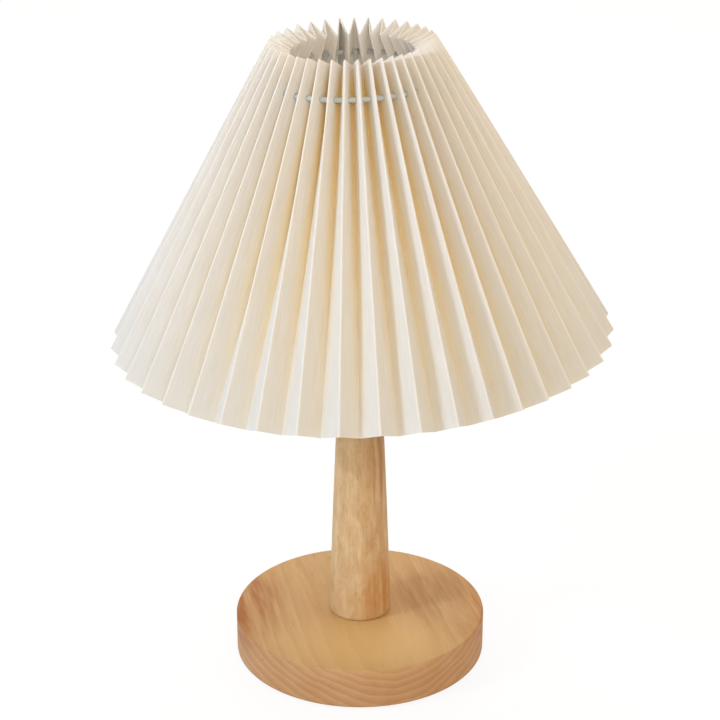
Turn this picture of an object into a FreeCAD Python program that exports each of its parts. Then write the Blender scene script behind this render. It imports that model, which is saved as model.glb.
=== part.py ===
import FreeCAD, Part
import math
import os
import Sketcher

# Pleated table lamp: turned wooden stand, screw lampholder, wire frame, one pleated sheet.
# Millimetres. The stand's axis is Z, the pad's underside is z = 0 and the front faces -Y.

SIZES = (
    # base, pad and cord outlet
    ("pad_thick", 1.6),
    ("pad_dia", 140.0),
    ("base_dia", 150.0),
    ("base_thick", 24.9),
    ("base_round", 1.5),
    ("well_dia", 56.0),
    ("well_depth", 13.0),
    ("outlet_rise", 7.4),
    ("outlet_dia", 8.4),
    ("spot_dia", 13.0),
    ("spot_depth", 2.0),
    ("grommet_bore", 5.6),
    ("flange_thick", 2.4),
    ("barrel_length", 12.0),
    # threaded pipe and its clamp
    ("pipe_dia", 9.8),
    ("pipe_bore", 7.0),
    ("pipe_tail", 1.5),
    ("pipe_thread_pitch", 1.0),
    ("pipe_thread_depth", 0.35),
    ("washer_dia", 28.0),
    ("washer_thick", 1.5),
    ("lock_dia", 17.5),
    ("lock_thick", 1.0),
    ("lock_notch_dia", 2.4),
    ("lock_teeth", 12),
    ("nut_flats", 15.0),
    ("nut_thick", 4.5),
    # post
    ("post_length", 178.0),
    ("post_foot_dia", 37.0),
    ("post_head_dia", 22.8),
    ("post_side_radius", 11000.0),
    ("foot_round", 1.6),
    ("head_bevel", 1.0),
    ("neck_dia", 20.4),
    ("neck_thick", 1.2),
    # lampholder
    ("cap_neck_dia", 22.0),
    ("cap_neck_height", 7.0),
    ("cap_dia", 39.6),
    ("cap_height", 22.0),
    ("cap_rim", 3.0),
    ("cap_flare_radius", 20.0),
    ("cap_wall", 2.2),
    ("cap_ledge", 4.0),
    ("boss_dia", 17.0),
    ("boss_height", 10.0),
    ("grub_dia", 3.0),
    ("grub_rise", 4.0),
    ("shell_dia", 38.4),
    ("shell_height", 34.0),
    ("shell_wall", 3.4),
    ("spigot_length", 5.0),
    ("lip_thick", 2.0),
    ("mouth_gap", 0.45),
    ("shoulder_dia", 52.0),
    ("shoulder_thick", 3.0),
    ("shoulder_rise", 15.0),
    ("ring_pitch", 2.5),
    ("ring_ridge", 0.6),
    ("ring_ridges", 6),
    ("insert_thick", 8.0),
    ("screw_wall", 0.55),
    ("screw_gap", 0.3),
    ("contact_rise", 2.0),
    ("contact_thick", 0.6),
    ("contact_width", 6.0),
    ("contact_run", 3.0),
    ("contact_foot", 5.0),
    ("terminal_head_dia", 5.0),
    ("terminal_head", 2.0),
    ("terminal_shank_dia", 2.5),
    ("terminal_shank", 5.0),
    ("terminal_pitch", 15.0),
    ("nut_ring_dia", 54.0),
    ("nut_ring_height", 8.0),
    ("nut_ring_ridges", 2),
    ("nut_ring_notch_dia", 4.4),
    ("nut_ring_notches", 18),
    # screw-in lamp
    ("bulb_length", 105.0),
    ("tip_dia", 9.0),
    ("tip_thick", 1.8),
    ("insulator_thick", 3.2),
    ("bulb_cap_height", 24.4),
    ("bulb_cap_wall", 0.75),
    ("bulb_thread_dia", 26.3),
    ("bulb_thread_depth", 1.0),
    ("bulb_thread_pitch", 3.629),
    ("bulb_thread_turns", 4.5),
    ("bulb_thread_start", 2.6),
    ("housing_spigot", 8.0),
    ("housing_collar", 0.9),
    ("housing_wall", 2.0),
    ("housing_side_radius", 60.0),
    ("globe_dia", 60.0),
    ("globe_wall", 1.4),
    ("seam_drop", 14.2),
    ("board_thick", 1.6),
    ("board_ledge", 2.4),
    # pleated sheet; the gather and sway of its folds are measured around the rim
    ("shade_top_dia", 92.6),
    ("shade_rim_dia", 288.2),
    ("shade_height", 172.1),
    ("shade_drop", 35.8),
    ("shade_lean", 1.79),
    ("sheet_thick", 0.4),
    ("pleat_count", 38),
    ("pleat_gather", 22.8),
    ("gather_side", 13.2),
    ("pleat_sway", 3.4),
    ("sway_side", 28.4),
    ("pleat_phase", 1.3),
    ("rim_fold_depth", 2.0),
    # wire frame
    ("frame_wire", 3.0),
    ("arm_wire", 2.4),
    ("fitter_bore", 42.0),
    ("arm_reach", 34.0),
    ("arm_bend", 8.0),
    ("arm_count", 3),
    ("rib_count", 6),
    ("ring_slant", 20.0),
    ("ring_depth", 7.5),
    ("rim_ring_up", 14.0),
    ("wire_overrun", 1.5),
    # clearances, each measured on the radius or between two faces
    ("pipe_gap", 0.4),
    ("thread_gap", 0.1),
    ("fit_gap", 0.05),
    ("seat_gap", 0.3),
    ("weld_gap", 0.05),
    ("hole_gap", 0.25),
)

DOC = FreeCAD.newDocument("PleatedTableLamp")
DIMS = DOC.addObject("Spreadsheet::Sheet", "Dims")
for row, (alias, value) in enumerate(SIZES, start=1):
    DIMS.set(f"A{row}", alias)
    DIMS.set(f"B{row}", str(value))
    DIMS.setAlias(f"B{row}", alias)
DOC.recompute()

FULL_TURN = 360.0
THROUGH_ALL = 1
NUT_SIDES = 6
TERMINAL_COUNT = "2"
# Half widths of a thread ridge, as shares of its pitch.
RIDGE_ROOT = 0.3
RIDGE_CREST = 0.1
# Numbers of a sketch's fixed axes and origin, and of the ends and centre of an edge.
AXIS_ACROSS, AXIS_UP = range(-1, -3, -1)
ORIGIN = AXIS_ACROSS
START, END, CENTRE = range(1, 4)
AXIS_X = FreeCAD.Vector(1, 0, 0)
AXIS_Y = FreeCAD.Vector(0, 1, 0)
AXIS_Z = FreeCAD.Vector(0, 0, 1)
UP_TO_BACK = FreeCAD.Rotation(AXIS_X, -90)
NODES = []

# Heights up the stand, from the floor.
BASE_UNDER = "Dims.pad_thick"
BASE_TOP = f"({BASE_UNDER} + Dims.base_thick)"
WELL_ROOF = f"({BASE_UNDER} + Dims.well_depth)"
OUTLET_AXIS = f"({BASE_UNDER} + Dims.outlet_rise)"
WASHER_UNDER = f"({WELL_ROOF} - Dims.washer_thick)"
LOCK_UNDER = f"({WASHER_UNDER} - Dims.lock_thick)"
NUT_UNDER = f"({LOCK_UNDER} - Dims.nut_thick)"
PIPE_END = f"({NUT_UNDER} - Dims.pipe_tail)"
POST_TOP = f"({BASE_TOP} + Dims.post_length)"
HOLDER_BASE = f"({POST_TOP} + Dims.neck_thick)"
BOSS_TOP = f"({HOLDER_BASE} + Dims.boss_height)"
CAP_TOP = f"({HOLDER_BASE} + Dims.cap_height)"
CAP_STEP = f"({CAP_TOP} - Dims.spigot_length)"
SHELL_TOP = f"({CAP_TOP} + Dims.shell_height)"
SHOULDER_TOP = f"({CAP_TOP} + Dims.shoulder_rise)"
SHOULDER_UNDER = f"({SHOULDER_TOP} - Dims.shoulder_thick)"
FITTER = f"({SHOULDER_TOP} + Dims.fit_gap + Dims.frame_wire / 2)"
NUT_RING_UNDER = f"({FITTER} + Dims.frame_wire / 2 + Dims.fit_gap)"
NUT_RING_TOP = f"({NUT_RING_UNDER} + Dims.nut_ring_height)"
INSERT_TOP = f"({CAP_STEP} + Dims.insert_thick)"
SCREW_TOP = f"({SHELL_TOP} - Dims.lip_thick - Dims.thread_gap)"
BULB_TIP = f"({INSERT_TOP} + Dims.contact_rise)"
INSULATOR_UNDER = f"({BULB_TIP} + Dims.tip_thick)"
BULB_CAP_UNDER = f"({INSULATOR_UNDER} + Dims.insulator_thick)"
BULB_CAP_TOP = f"({BULB_CAP_UNDER} + Dims.bulb_cap_height)"
BULB_TOP = f"({BULB_TIP} + Dims.bulb_length)"
SEAM = f"({BULB_TOP} - Dims.globe_dia / 2 - Dims.seam_drop)"
BOARD_UNDER = f"({SEAM} - Dims.board_thick - Dims.thread_gap)"
SHADE_RIM = f"({FITTER} - Dims.shade_drop)"
SHADE_TOP = f"({SHADE_RIM} + Dims.shade_height)"

# Radii that several pieces share.
PIPE_R = "(Dims.pipe_dia / 2)"
WOOD_BORE_R = f"({PIPE_R} + Dims.pipe_gap)"
PIPE_HOLE_R = f"({PIPE_R} + Dims.thread_gap)"
CAP_R = "(Dims.cap_dia / 2)"
CAP_BORE_R = f"({CAP_R} - Dims.cap_wall)"
SHELL_R = "(Dims.shell_dia / 2)"
SHELL_BORE_R = f"({SHELL_R} - Dims.shell_wall)"
SPIGOT_R = f"({CAP_BORE_R} - Dims.thread_gap)"
INSERT_R = f"({SHELL_BORE_R} - Dims.thread_gap)"
BULB_THREAD_R = "(Dims.bulb_thread_dia / 2)"
BULB_ROOT_R = f"({BULB_THREAD_R} - Dims.bulb_thread_depth)"
BULB_BORE_R = f"({BULB_ROOT_R} - Dims.bulb_cap_wall)"
SCREW_BORE_R = f"({BULB_THREAD_R} + Dims.screw_gap)"
SCREW_R = f"({SCREW_BORE_R} + Dims.screw_wall)"
MOUTH_R = f"({BULB_THREAD_R} + Dims.mouth_gap)"
NUT_RING_R = "(Dims.nut_ring_dia / 2)"
NUT_RING_BORE_R = f"({SHELL_R} + Dims.ring_ridge + Dims.thread_gap)"
GLOBE_R = "(Dims.globe_dia / 2)"
GLOBE_BORE_R = f"({GLOBE_R} - Dims.globe_wall)"
SEAM_R = f"sqrt({GLOBE_R}^2 - Dims.seam_drop^2)"
SEAM_BORE_R = f"sqrt({GLOBE_BORE_R}^2 - Dims.seam_drop^2)"
BOARD_R = f"({SEAM_R} - Dims.housing_wall - Dims.thread_gap)"
WIRE_R = "(Dims.frame_wire / 2)"
FITTER_R = f"(Dims.fitter_bore / 2 + {WIRE_R})"


def size(expression):
    """Return the present value of a size expression."""
    return float(DIMS.evalExpression(expression))


def keep(piece):
    """Add a finished piece to the list of sub-parts."""
    piece.Label = piece.Name
    NODES.append(piece)
    return piece


def plane(body, role):
    """Return one of a body's own origin planes."""
    return [item for item in body.Origin.OriginFeatures if item.Role == role][0]


def sketch_on(body, name, role, offset=None):
    """Start a sketch on an origin plane of the body, moved along its normal by an expression."""
    sketch = body.newObject("Sketcher::SketchObject", name)
    sketch.AttachmentSupport = (plane(body, role), [""])
    sketch.MapMode = "FlatFace"
    if offset:
        sketch.setExpression("AttachmentOffset.Base.z", offset)
    return sketch


def tie_point(sketch, edge, end, across, up):
    """Tie one end of a sketch edge to its two coordinates, given as expressions."""
    for kind, expression, axis in (("DistanceX", across, AXIS_UP), ("DistanceY", up, AXIS_ACROSS)):
        value = size(expression)
        if value:
            index = sketch.addConstraint(Sketcher.Constraint(kind, ORIGIN, START, edge, end, value))
            sketch.setExpression(f"Constraints[{index}]", expression)
        else:
            sketch.addConstraint(Sketcher.Constraint("PointOnObject", edge, end, axis))


def tie_radius(sketch, edge, expression):
    """Tie the radius of a sketch circle or arc to an expression."""
    index = sketch.addConstraint(Sketcher.Constraint("Radius", edge, size(expression)))
    sketch.setExpression(f"Constraints[{index}]", expression)


def arc_between(start, end, radius, turn):
    """Return the short arc from start to end; turn is 1 anticlockwise and -1 clockwise."""
    chord = end - start
    half = chord.Length / 2
    rise = math.sqrt(radius * radius - half * half)
    across = FreeCAD.Vector(-chord.y, chord.x, 0).normalize()
    centre = (start + end) / 2 + across * rise * turn
    first, last = (start, end) if turn > 0 else (end, start)
    angles = [math.atan2(point.y - centre.y, point.x - centre.x) for point in (first, last)]
    return Part.ArcOfCircle(Part.Circle(centre, AXIS_Z, radius), angles[0], angles[1])


def draw_outline(sketch, corners):
    """Draw a closed outline; a corner is (across, up) or (across, up, arc radius, turn)."""
    spots = [FreeCAD.Vector(size(corner[0]), size(corner[1]), 0) for corner in corners]
    heads = []
    for index, corner in enumerate(corners):
        start = spots[index]
        end = spots[(index + 1) % len(corners)]
        if len(corner) == 2:
            edge = sketch.addGeometry(Part.LineSegment(start, end), False)
            heads.append((edge, START, END))
        else:
            turn = corner[3]
            edge = sketch.addGeometry(arc_between(start, end, size(corner[2]), turn), False)
            heads.append((edge, START, END) if turn > 0 else (edge, END, START))
    for index, (edge, head, tail) in enumerate(heads):
        after = heads[(index + 1) % len(heads)]
        sketch.addConstraint(Sketcher.Constraint("Coincident", edge, tail, after[0], after[1]))
    for (edge, head, tail), corner in zip(heads, corners):
        tie_point(sketch, edge, head, corner[0], corner[1])
        if len(corner) > 2:
            tie_radius(sketch, edge, corner[2])


def turned(label, corners):
    """Make a body of revolution about Z from an outline of (radius, height) corners."""
    body = DOC.addObject("PartDesign::Body", label)
    sketch = sketch_on(body, label + "_outline", "XZ_Plane")
    draw_outline(sketch, corners)
    turn = body.newObject("PartDesign::Revolution", label + "_turn")
    turn.Profile = sketch
    turn.ReferenceAxis = (sketch, ["V_Axis"])
    turn.Angle = FULL_TURN
    DOC.recompute()
    return body


def bush(label, bore, outer, under, top):
    """Make a plain ring between two heights."""
    return turned(label, ((bore, under), (outer, under), (outer, top), (bore, top)))


def ridge_corners(root, crest, middle, pitch):
    """Return the outline of one thread ridge around a middle height."""
    return (
        (root, f"{middle} - {pitch} * {RIDGE_ROOT}"),
        (crest, f"{middle} - {pitch} * {RIDGE_CREST}"),
        (crest, f"{middle} + {pitch} * {RIDGE_CREST}"),
        (root, f"{middle} + {pitch} * {RIDGE_ROOT}"),
    )


def add_ridges(body, root, crest, middle, pitch, count):
    """Add a row of thread ridges around a turned body."""
    sketch = sketch_on(body, body.Name + "_ridge", "XZ_Plane")
    draw_outline(sketch, ridge_corners(root, crest, middle, pitch))
    ridge = body.newObject("PartDesign::Revolution", body.Name + "_ridge_turn")
    ridge.Profile = sketch
    ridge.ReferenceAxis = (sketch, ["V_Axis"])
    ridge.Angle = FULL_TURN
    DOC.recompute()
    row = body.newObject("PartDesign::LinearPattern", body.Name + "_ridge_row")
    row.Originals = [ridge]
    row.Direction = (sketch, ["V_Axis"])
    row.setExpression("Length", f"({count} - 1) * {pitch}")
    row.setExpression("Occurrences", count)
    body.Tip = row
    DOC.recompute()


def add_helix(body, root, crest, middle, pitch, turns):
    """Add one right-hand thread ridge that starts at a middle height."""
    sketch = sketch_on(body, body.Name + "_thread", "XZ_Plane")
    draw_outline(sketch, ridge_corners(root, crest, middle, pitch))
    thread = body.newObject("PartDesign::AdditiveHelix", body.Name + "_helix")
    thread.Profile = sketch
    thread.ReferenceAxis = (sketch, ["V_Axis"])
    thread.Mode = "pitch-turns-angle"
    thread.setExpression("Pitch", pitch)
    thread.setExpression("Turns", turns)
    body.Tip = thread
    DOC.recompute()


def cut_through(body, sketch, name, forward):
    """Cut a sketch through a body; forward is along the sketch's own normal."""
    cut = body.newObject("PartDesign::Pocket", name)
    cut.Profile = sketch
    cut.Type = THROUGH_ALL
    cut.Reversed = forward
    DOC.recompute()
    return cut


def drill_ring(body, radius, reach, count):
    """Cut a ring of round holes or notches through a body along Z."""
    sketch = sketch_on(body, body.Name + "_hole", "XY_Plane")
    centre = FreeCAD.Vector(size(reach), 0, 0)
    edge = sketch.addGeometry(Part.Circle(centre, AXIS_Z, size(radius)), False)
    tie_point(sketch, edge, CENTRE, reach, "0")
    tie_radius(sketch, edge, radius)
    hole = cut_through(body, sketch, body.Name + "_hole_cut", True)
    ring = body.newObject("PartDesign::PolarPattern", body.Name + "_hole_ring")
    ring.Originals = [hole]
    ring.Axis = (sketch, ["N_Axis"])
    ring.Angle = FULL_TURN
    ring.setExpression("Occurrences", count)
    body.Tip = ring
    DOC.recompute()


def bore_back(body, name, radius, height, start):
    """Cut a round hole along +Y through a body's back, from a given distance behind the axis."""
    sketch = sketch_on(body, name, "XZ_Plane", f"-({start})")
    centre = FreeCAD.Vector(0, size(height), 0)
    edge = sketch.addGeometry(Part.Circle(centre, AXIS_Z, size(radius)), False)
    tie_point(sketch, edge, CENTRE, "0", height)
    tie_radius(sketch, edge, radius)
    body.Tip = cut_through(body, sketch, name + "_cut", False)


def cylinder(name, radius, height, under, across="0"):
    """Make a plain upright cylinder."""
    piece = DOC.addObject("Part::Cylinder", name)
    piece.setExpression("Radius", radius)
    piece.setExpression("Height", height)
    piece.setExpression("Placement.Base.x", across)
    piece.setExpression("Placement.Base.z", under)
    return piece


def wire_ring(label, radius, wire, placement):
    """Make a closed ring of round wire."""
    ring = DOC.addObject("Part::Torus", label)
    ring.setExpression("Radius1", radius)
    ring.setExpression("Radius2", wire)
    ring.Placement = placement
    return keep(ring)


def computed(label, shape):
    """Make a piece whose shape is worked out from the sheet's sizes."""
    piece = DOC.addObject("Part::Feature", label)
    piece.Shape = shape
    return keep(piece)


# Base: pad, turned disc with a well, cord outlet and its grommet.
base_pad = cylinder("base_pad", "Dims.pad_dia / 2", "Dims.pad_thick", "0")
keep(base_pad)

BASE_R = "(Dims.base_dia / 2)"
base_disc = turned("base_disc", (
    ("Dims.well_dia / 2", BASE_UNDER),
    (f"{BASE_R} - Dims.base_round", BASE_UNDER, "Dims.base_round", 1),
    (BASE_R, f"{BASE_UNDER} + Dims.base_round"),
    (BASE_R, f"{BASE_TOP} - Dims.base_round", "Dims.base_round", 1),
    (f"{BASE_R} - Dims.base_round", BASE_TOP),
    (WOOD_BORE_R, BASE_TOP),
    (WOOD_BORE_R, WELL_ROOF),
    ("Dims.well_dia / 2", WELL_ROOF),
))
SPOT_FACE = f"({BASE_R} - Dims.spot_depth)"
bore_back(base_disc, "outlet", "Dims.outlet_dia / 2", OUTLET_AXIS, "0")
bore_back(base_disc, "spot", "Dims.spot_dia / 2", OUTLET_AXIS, SPOT_FACE)
keep(base_disc)

BARREL_R = "(Dims.outlet_dia / 2 - Dims.fit_gap)"
FLANGE_R = "(Dims.spot_dia / 2 - Dims.seat_gap)"
GROMMET_R = "(Dims.grommet_bore / 2)"
cord_grommet = turned("cord_grommet", (
    (GROMMET_R, "0"),
    (BARREL_R, "0"),
    (BARREL_R, "Dims.barrel_length"),
    (FLANGE_R, "Dims.barrel_length"),
    (FLANGE_R, "Dims.barrel_length + Dims.flange_thick / 2", "Dims.flange_thick / 2", 1),
    (f"{FLANGE_R} - Dims.flange_thick / 2", "Dims.barrel_length + Dims.flange_thick"),
    (GROMMET_R, "Dims.barrel_length + Dims.flange_thick"),
))
cord_grommet.Placement = FreeCAD.Placement(FreeCAD.Vector(), UP_TO_BACK)
cord_grommet.setExpression("Placement.Base.y", f"{SPOT_FACE} - Dims.barrel_length")
cord_grommet.setExpression("Placement.Base.z", OUTLET_AXIS)
keep(cord_grommet)

# Threaded pipe with the washer, toothed washer and nut that draw it down in the well.
PIPE_CORE_R = f"({PIPE_R} - Dims.pipe_thread_depth)"
PIPE_PLAIN = f"({WELL_ROOF} + Dims.pipe_thread_pitch)"
stand_tube = turned("stand_tube", (
    ("Dims.pipe_bore / 2", PIPE_END),
    (PIPE_CORE_R, PIPE_END),
    (PIPE_CORE_R, PIPE_PLAIN),
    (PIPE_R, PIPE_PLAIN),
    (PIPE_R, BOSS_TOP),
    ("Dims.pipe_bore / 2", BOSS_TOP),
))
PIPE_THREAD_LENGTH = f"({PIPE_PLAIN} - {PIPE_END})"
PIPE_RIDGES = f"floor(({PIPE_THREAD_LENGTH} - Dims.pipe_thread_pitch / 2) / Dims.pipe_thread_pitch)"
add_ridges(stand_tube, PIPE_CORE_R, PIPE_R, f"({PIPE_END} + Dims.pipe_thread_pitch / 2)",
           "Dims.pipe_thread_pitch", PIPE_RIDGES)
keep(stand_tube)

keep(bush("base_washer", WOOD_BORE_R, "Dims.washer_dia / 2", WASHER_UNDER, WELL_ROOF))
lock_washer = bush("lock_washer", WOOD_BORE_R, "Dims.lock_dia / 2", LOCK_UNDER, WASHER_UNDER)
drill_ring(lock_washer, "Dims.lock_notch_dia / 2", "Dims.lock_dia / 2", "Dims.lock_teeth")
keep(lock_washer)

nut_block = DOC.addObject("Part::Prism", "nut_block")
nut_block.Polygon = NUT_SIDES
nut_block.setExpression("Circumradius", "Dims.nut_flats / sqrt(3)")
nut_block.setExpression("Height", "Dims.nut_thick")
nut_block.setExpression("Placement.Base.z", NUT_UNDER)
base_nut = DOC.addObject("Part::Cut", "base_nut")
base_nut.Base = nut_block
base_nut.Tool = cylinder("nut_bore", PIPE_HOLE_R, "Dims.nut_thick", NUT_UNDER)
keep(base_nut)

# Post: gently swelling taper with a rounded foot, and the washer on its head.
FOOT_R = "(Dims.post_foot_dia / 2)"
HEAD_R = "(Dims.post_head_dia / 2)"
keep(turned("post", (
    (WOOD_BORE_R, BASE_TOP),
    (f"{FOOT_R} - Dims.foot_round", BASE_TOP, "Dims.foot_round", 1),
    (FOOT_R, f"{BASE_TOP} + Dims.foot_round", "Dims.post_side_radius", 1),
    (HEAD_R, f"{POST_TOP} - Dims.head_bevel"),
    (f"{HEAD_R} - Dims.head_bevel", POST_TOP),
    (WOOD_BORE_R, POST_TOP),
)))
keep(bush("neck_washer", WOOD_BORE_R, "Dims.neck_dia / 2", POST_TOP, HOLDER_BASE))

# Lampholder: cap on the pipe, locked by a grub screw.
CAP_NECK_R = "(Dims.cap_neck_dia / 2)"
LEDGE_R = f"({CAP_BORE_R} - Dims.cap_ledge)"
holder_cap = turned("holder_cap", (
    (PIPE_HOLE_R, HOLDER_BASE),
    (CAP_NECK_R, HOLDER_BASE),
    (CAP_NECK_R, f"{HOLDER_BASE} + Dims.cap_neck_height", "Dims.cap_flare_radius", 1),
    (CAP_R, f"{CAP_TOP} - Dims.cap_rim"),
    (CAP_R, CAP_TOP),
    (CAP_BORE_R, CAP_TOP),
    (CAP_BORE_R, CAP_STEP),
    (LEDGE_R, CAP_STEP),
    ("Dims.boss_dia / 2", BOSS_TOP),
    (PIPE_HOLE_R, BOSS_TOP),
))
GRUB_AXIS = f"({HOLDER_BASE} + Dims.grub_rise)"
bore_back(holder_cap, "grub_hole", "Dims.grub_dia / 2", GRUB_AXIS, "0")
keep(holder_cap)

grub = cylinder("cap_grub_screw", "Dims.grub_dia / 2 - Dims.fit_gap",
                f"{CAP_NECK_R} - {PIPE_R} - Dims.fit_gap * 2", GRUB_AXIS)
grub.Placement = FreeCAD.Placement(FreeCAD.Vector(), UP_TO_BACK)
grub.setExpression("Placement.Base.y", f"{PIPE_R} + Dims.fit_gap")
keep(grub)

# Lampholder: sleeve with a shoulder for the shade and a thread for the ring nut.
SHOULDER_R = "(Dims.shoulder_dia / 2)"
SPIGOT_UNDER = f"({CAP_STEP} + Dims.thread_gap)"
holder_shell = turned("holder_shell", (
    (SHELL_BORE_R, SPIGOT_UNDER),
    (SPIGOT_R, SPIGOT_UNDER),
    (SPIGOT_R, CAP_TOP),
    (SHELL_R, CAP_TOP),
    (SHELL_R, SHOULDER_UNDER),
    (SHOULDER_R, SHOULDER_UNDER),
    (SHOULDER_R, SHOULDER_TOP),
    (SHELL_R, SHOULDER_TOP),
    (SHELL_R, SHELL_TOP),
    (MOUTH_R, SHELL_TOP),
    (MOUTH_R, f"{SHELL_TOP} - Dims.lip_thick"),
    (SHELL_BORE_R, f"{SHELL_TOP} - Dims.lip_thick"),
))
RING_START = f"({NUT_RING_UNDER} + Dims.ring_pitch / 2)"
add_ridges(holder_shell, SHELL_R, f"({SHELL_R} + Dims.ring_ridge)", RING_START,
           "Dims.ring_pitch", "Dims.ring_ridges")
keep(holder_shell)

# Lampholder: insulating core, screw shell, contact tongue and terminal screws.
holder_insert = turned("holder_insert", (
    ("0", CAP_STEP),
    (INSERT_R, CAP_STEP),
    (INSERT_R, INSERT_TOP),
    ("0", INSERT_TOP),
))
SHANK_HOLE_R = "(Dims.terminal_shank_dia / 2 + Dims.fit_gap)"
drill_ring(holder_insert, SHANK_HOLE_R, "Dims.terminal_pitch / 2", TERMINAL_COUNT)
keep(holder_insert)

screw_shell = bush("screw_shell", SCREW_BORE_R, SCREW_R, INSERT_TOP, SCREW_TOP)
BULB_THREAD_START = f"({BULB_CAP_UNDER} + Dims.bulb_thread_start)"
SCREW_CREST_R = f"({BULB_ROOT_R} + Dims.screw_gap)"
add_helix(screw_shell, SCREW_BORE_R, SCREW_CREST_R,
          f"({BULB_THREAD_START} + Dims.bulb_thread_pitch / 2)",
          "Dims.bulb_thread_pitch", "Dims.bulb_thread_turns - 1")
keep(screw_shell)

centre_contact = DOC.addObject("PartDesign::Body", "centre_contact")
contact_side = sketch_on(centre_contact, "contact_side", "XZ_Plane")
CONTACT_UNDER = f"({BULB_TIP} - Dims.contact_thick)"
CONTACT_FOOT_TOP = f"({INSERT_TOP} + Dims.contact_thick)"
FOOT_START = "(Dims.contact_width + Dims.contact_run)"
draw_outline(contact_side, (
    ("0", CONTACT_UNDER),
    ("Dims.contact_width", CONTACT_UNDER),
    (FOOT_START, INSERT_TOP),
    (f"{FOOT_START} + Dims.contact_foot", INSERT_TOP),
    (f"{FOOT_START} + Dims.contact_foot", CONTACT_FOOT_TOP),
    (f"{FOOT_START} + Dims.contact_thick / 2", CONTACT_FOOT_TOP),
    ("Dims.contact_width + Dims.contact_thick / 2", BULB_TIP),
    ("0", BULB_TIP),
))
contact_pad = centre_contact.newObject("PartDesign::Pad", "contact_pad")
contact_pad.Profile = contact_side
contact_pad.SideType = "Symmetric"
contact_pad.setExpression("Length", "Dims.contact_width")
centre_contact.setExpression("Placement.Base.x", "-Dims.contact_width / 2")
keep(centre_contact)

HEAD_UNDER = f"({CAP_STEP} - Dims.terminal_head)"
terminals = []
for side, across in (("left", "-Dims.terminal_pitch / 2"), ("right", "Dims.terminal_pitch / 2")):
    head = cylinder(f"terminal_head_{side}", "Dims.terminal_head_dia / 2",
                    "Dims.terminal_head", HEAD_UNDER, across)
    shank = cylinder(f"terminal_shank_{side}", "Dims.terminal_shank_dia / 2",
                     "Dims.terminal_head + Dims.terminal_shank", HEAD_UNDER, across)
    screw = DOC.addObject("Part::MultiFuse", f"terminal_{side}")
    screw.Shapes = [head, shank]
    terminals.append(screw)
terminal_screws = DOC.addObject("Part::Compound", "terminal_screws")
terminal_screws.Links = terminals
keep(terminal_screws)

# Ring nut that clamps the fitter ring down on the shoulder.
shade_ring_nut = bush("shade_ring_nut", NUT_RING_BORE_R, NUT_RING_R, NUT_RING_UNDER, NUT_RING_TOP)
add_ridges(shade_ring_nut, NUT_RING_BORE_R, f"({SHELL_R} + Dims.thread_gap)",
           f"({RING_START} + Dims.ring_pitch / 2)", "Dims.ring_pitch", "Dims.nut_ring_ridges")
drill_ring(shade_ring_nut, "Dims.nut_ring_notch_dia / 2",
           f"{NUT_RING_R} + Dims.nut_ring_notch_dia / 4", "Dims.nut_ring_notches")
keep(shade_ring_nut)

# Screw-in lamp: tip, insulator, threaded cap, housing, board and globe.
TIP_R = "(Dims.tip_dia / 2)"
keep(turned("bulb_tip", (
    ("0", BULB_TIP),
    (f"{TIP_R} / 2", BULB_TIP),
    (TIP_R, INSULATOR_UNDER),
    ("0", INSULATOR_UNDER),
)))
keep(turned("bulb_insulator", (
    ("0", INSULATOR_UNDER),
    (f"{TIP_R} + Dims.bulb_cap_wall", INSULATOR_UNDER),
    (BULB_ROOT_R, BULB_CAP_UNDER),
    ("0", BULB_CAP_UNDER),
)))
bulb_cap = bush("bulb_cap", BULB_BORE_R, BULB_ROOT_R, BULB_CAP_UNDER, BULB_CAP_TOP)
add_helix(bulb_cap, BULB_ROOT_R, BULB_THREAD_R, BULB_THREAD_START,
          "Dims.bulb_thread_pitch", "Dims.bulb_thread_turns")
keep(bulb_cap)

PLUG_R = f"({BULB_BORE_R} - Dims.fit_gap)"
PLUG_BORE_R = f"({PLUG_R} - Dims.housing_wall)"
COLLAR_R = f"({BULB_THREAD_R} + Dims.housing_collar)"
BOARD_HOLE_R = f"({BOARD_R} + Dims.thread_gap)"
keep(turned("bulb_housing", (
    (PLUG_BORE_R, f"{BULB_CAP_TOP} - Dims.housing_spigot"),
    (PLUG_R, f"{BULB_CAP_TOP} - Dims.housing_spigot"),
    (PLUG_R, BULB_CAP_TOP),
    (COLLAR_R, BULB_CAP_TOP, "Dims.housing_side_radius", -1),
    (SEAM_R, SEAM),
    (BOARD_HOLE_R, SEAM),
    (BOARD_HOLE_R, BOARD_UNDER),
    (f"{BOARD_R} - Dims.board_ledge", BOARD_UNDER),
    (PLUG_BORE_R, f"{BULB_CAP_TOP} + Dims.housing_wall"),
)))
keep(turned("led_board", (
    ("0", BOARD_UNDER),
    (BOARD_R, BOARD_UNDER),
    (BOARD_R, f"{BOARD_UNDER} + Dims.board_thick"),
    ("0", f"{BOARD_UNDER} + Dims.board_thick"),
)))
keep(turned("bulb_globe", (
    (SEAM_BORE_R, SEAM),
    (SEAM_R, SEAM),
    (GLOBE_R, f"{SEAM} + Dims.seam_drop", GLOBE_R, 1),
    ("0", BULB_TOP),
    ("0", f"{BULB_TOP} - Dims.globe_wall", GLOBE_BORE_R, -1),
    (GLOBE_BORE_R, f"{SEAM} + Dims.seam_drop"),
)))

# Pleated sheet: one strip folded in equal panels and spread into a cone. Its fold lines run
# down the slope; "slant" is the way down the slope from the top edge and "depth" the way in
# from the outer folds, square to the slope.
TOP_R = size("Dims.shade_top_dia / 2")
RIM_R = size("Dims.shade_rim_dia / 2")
TOP_Z = size(SHADE_TOP)
HEIGHT = size("Dims.shade_height")
SLANT = math.hypot(RIM_R - TOP_R, HEIGHT)
SLOPE_OUT = (RIM_R - TOP_R) / SLANT
SLOPE_DOWN = HEIGHT / SLANT
SHEET = size("Dims.sheet_thick")
PLEATS = int(round(size("Dims.pleat_count")))
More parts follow.
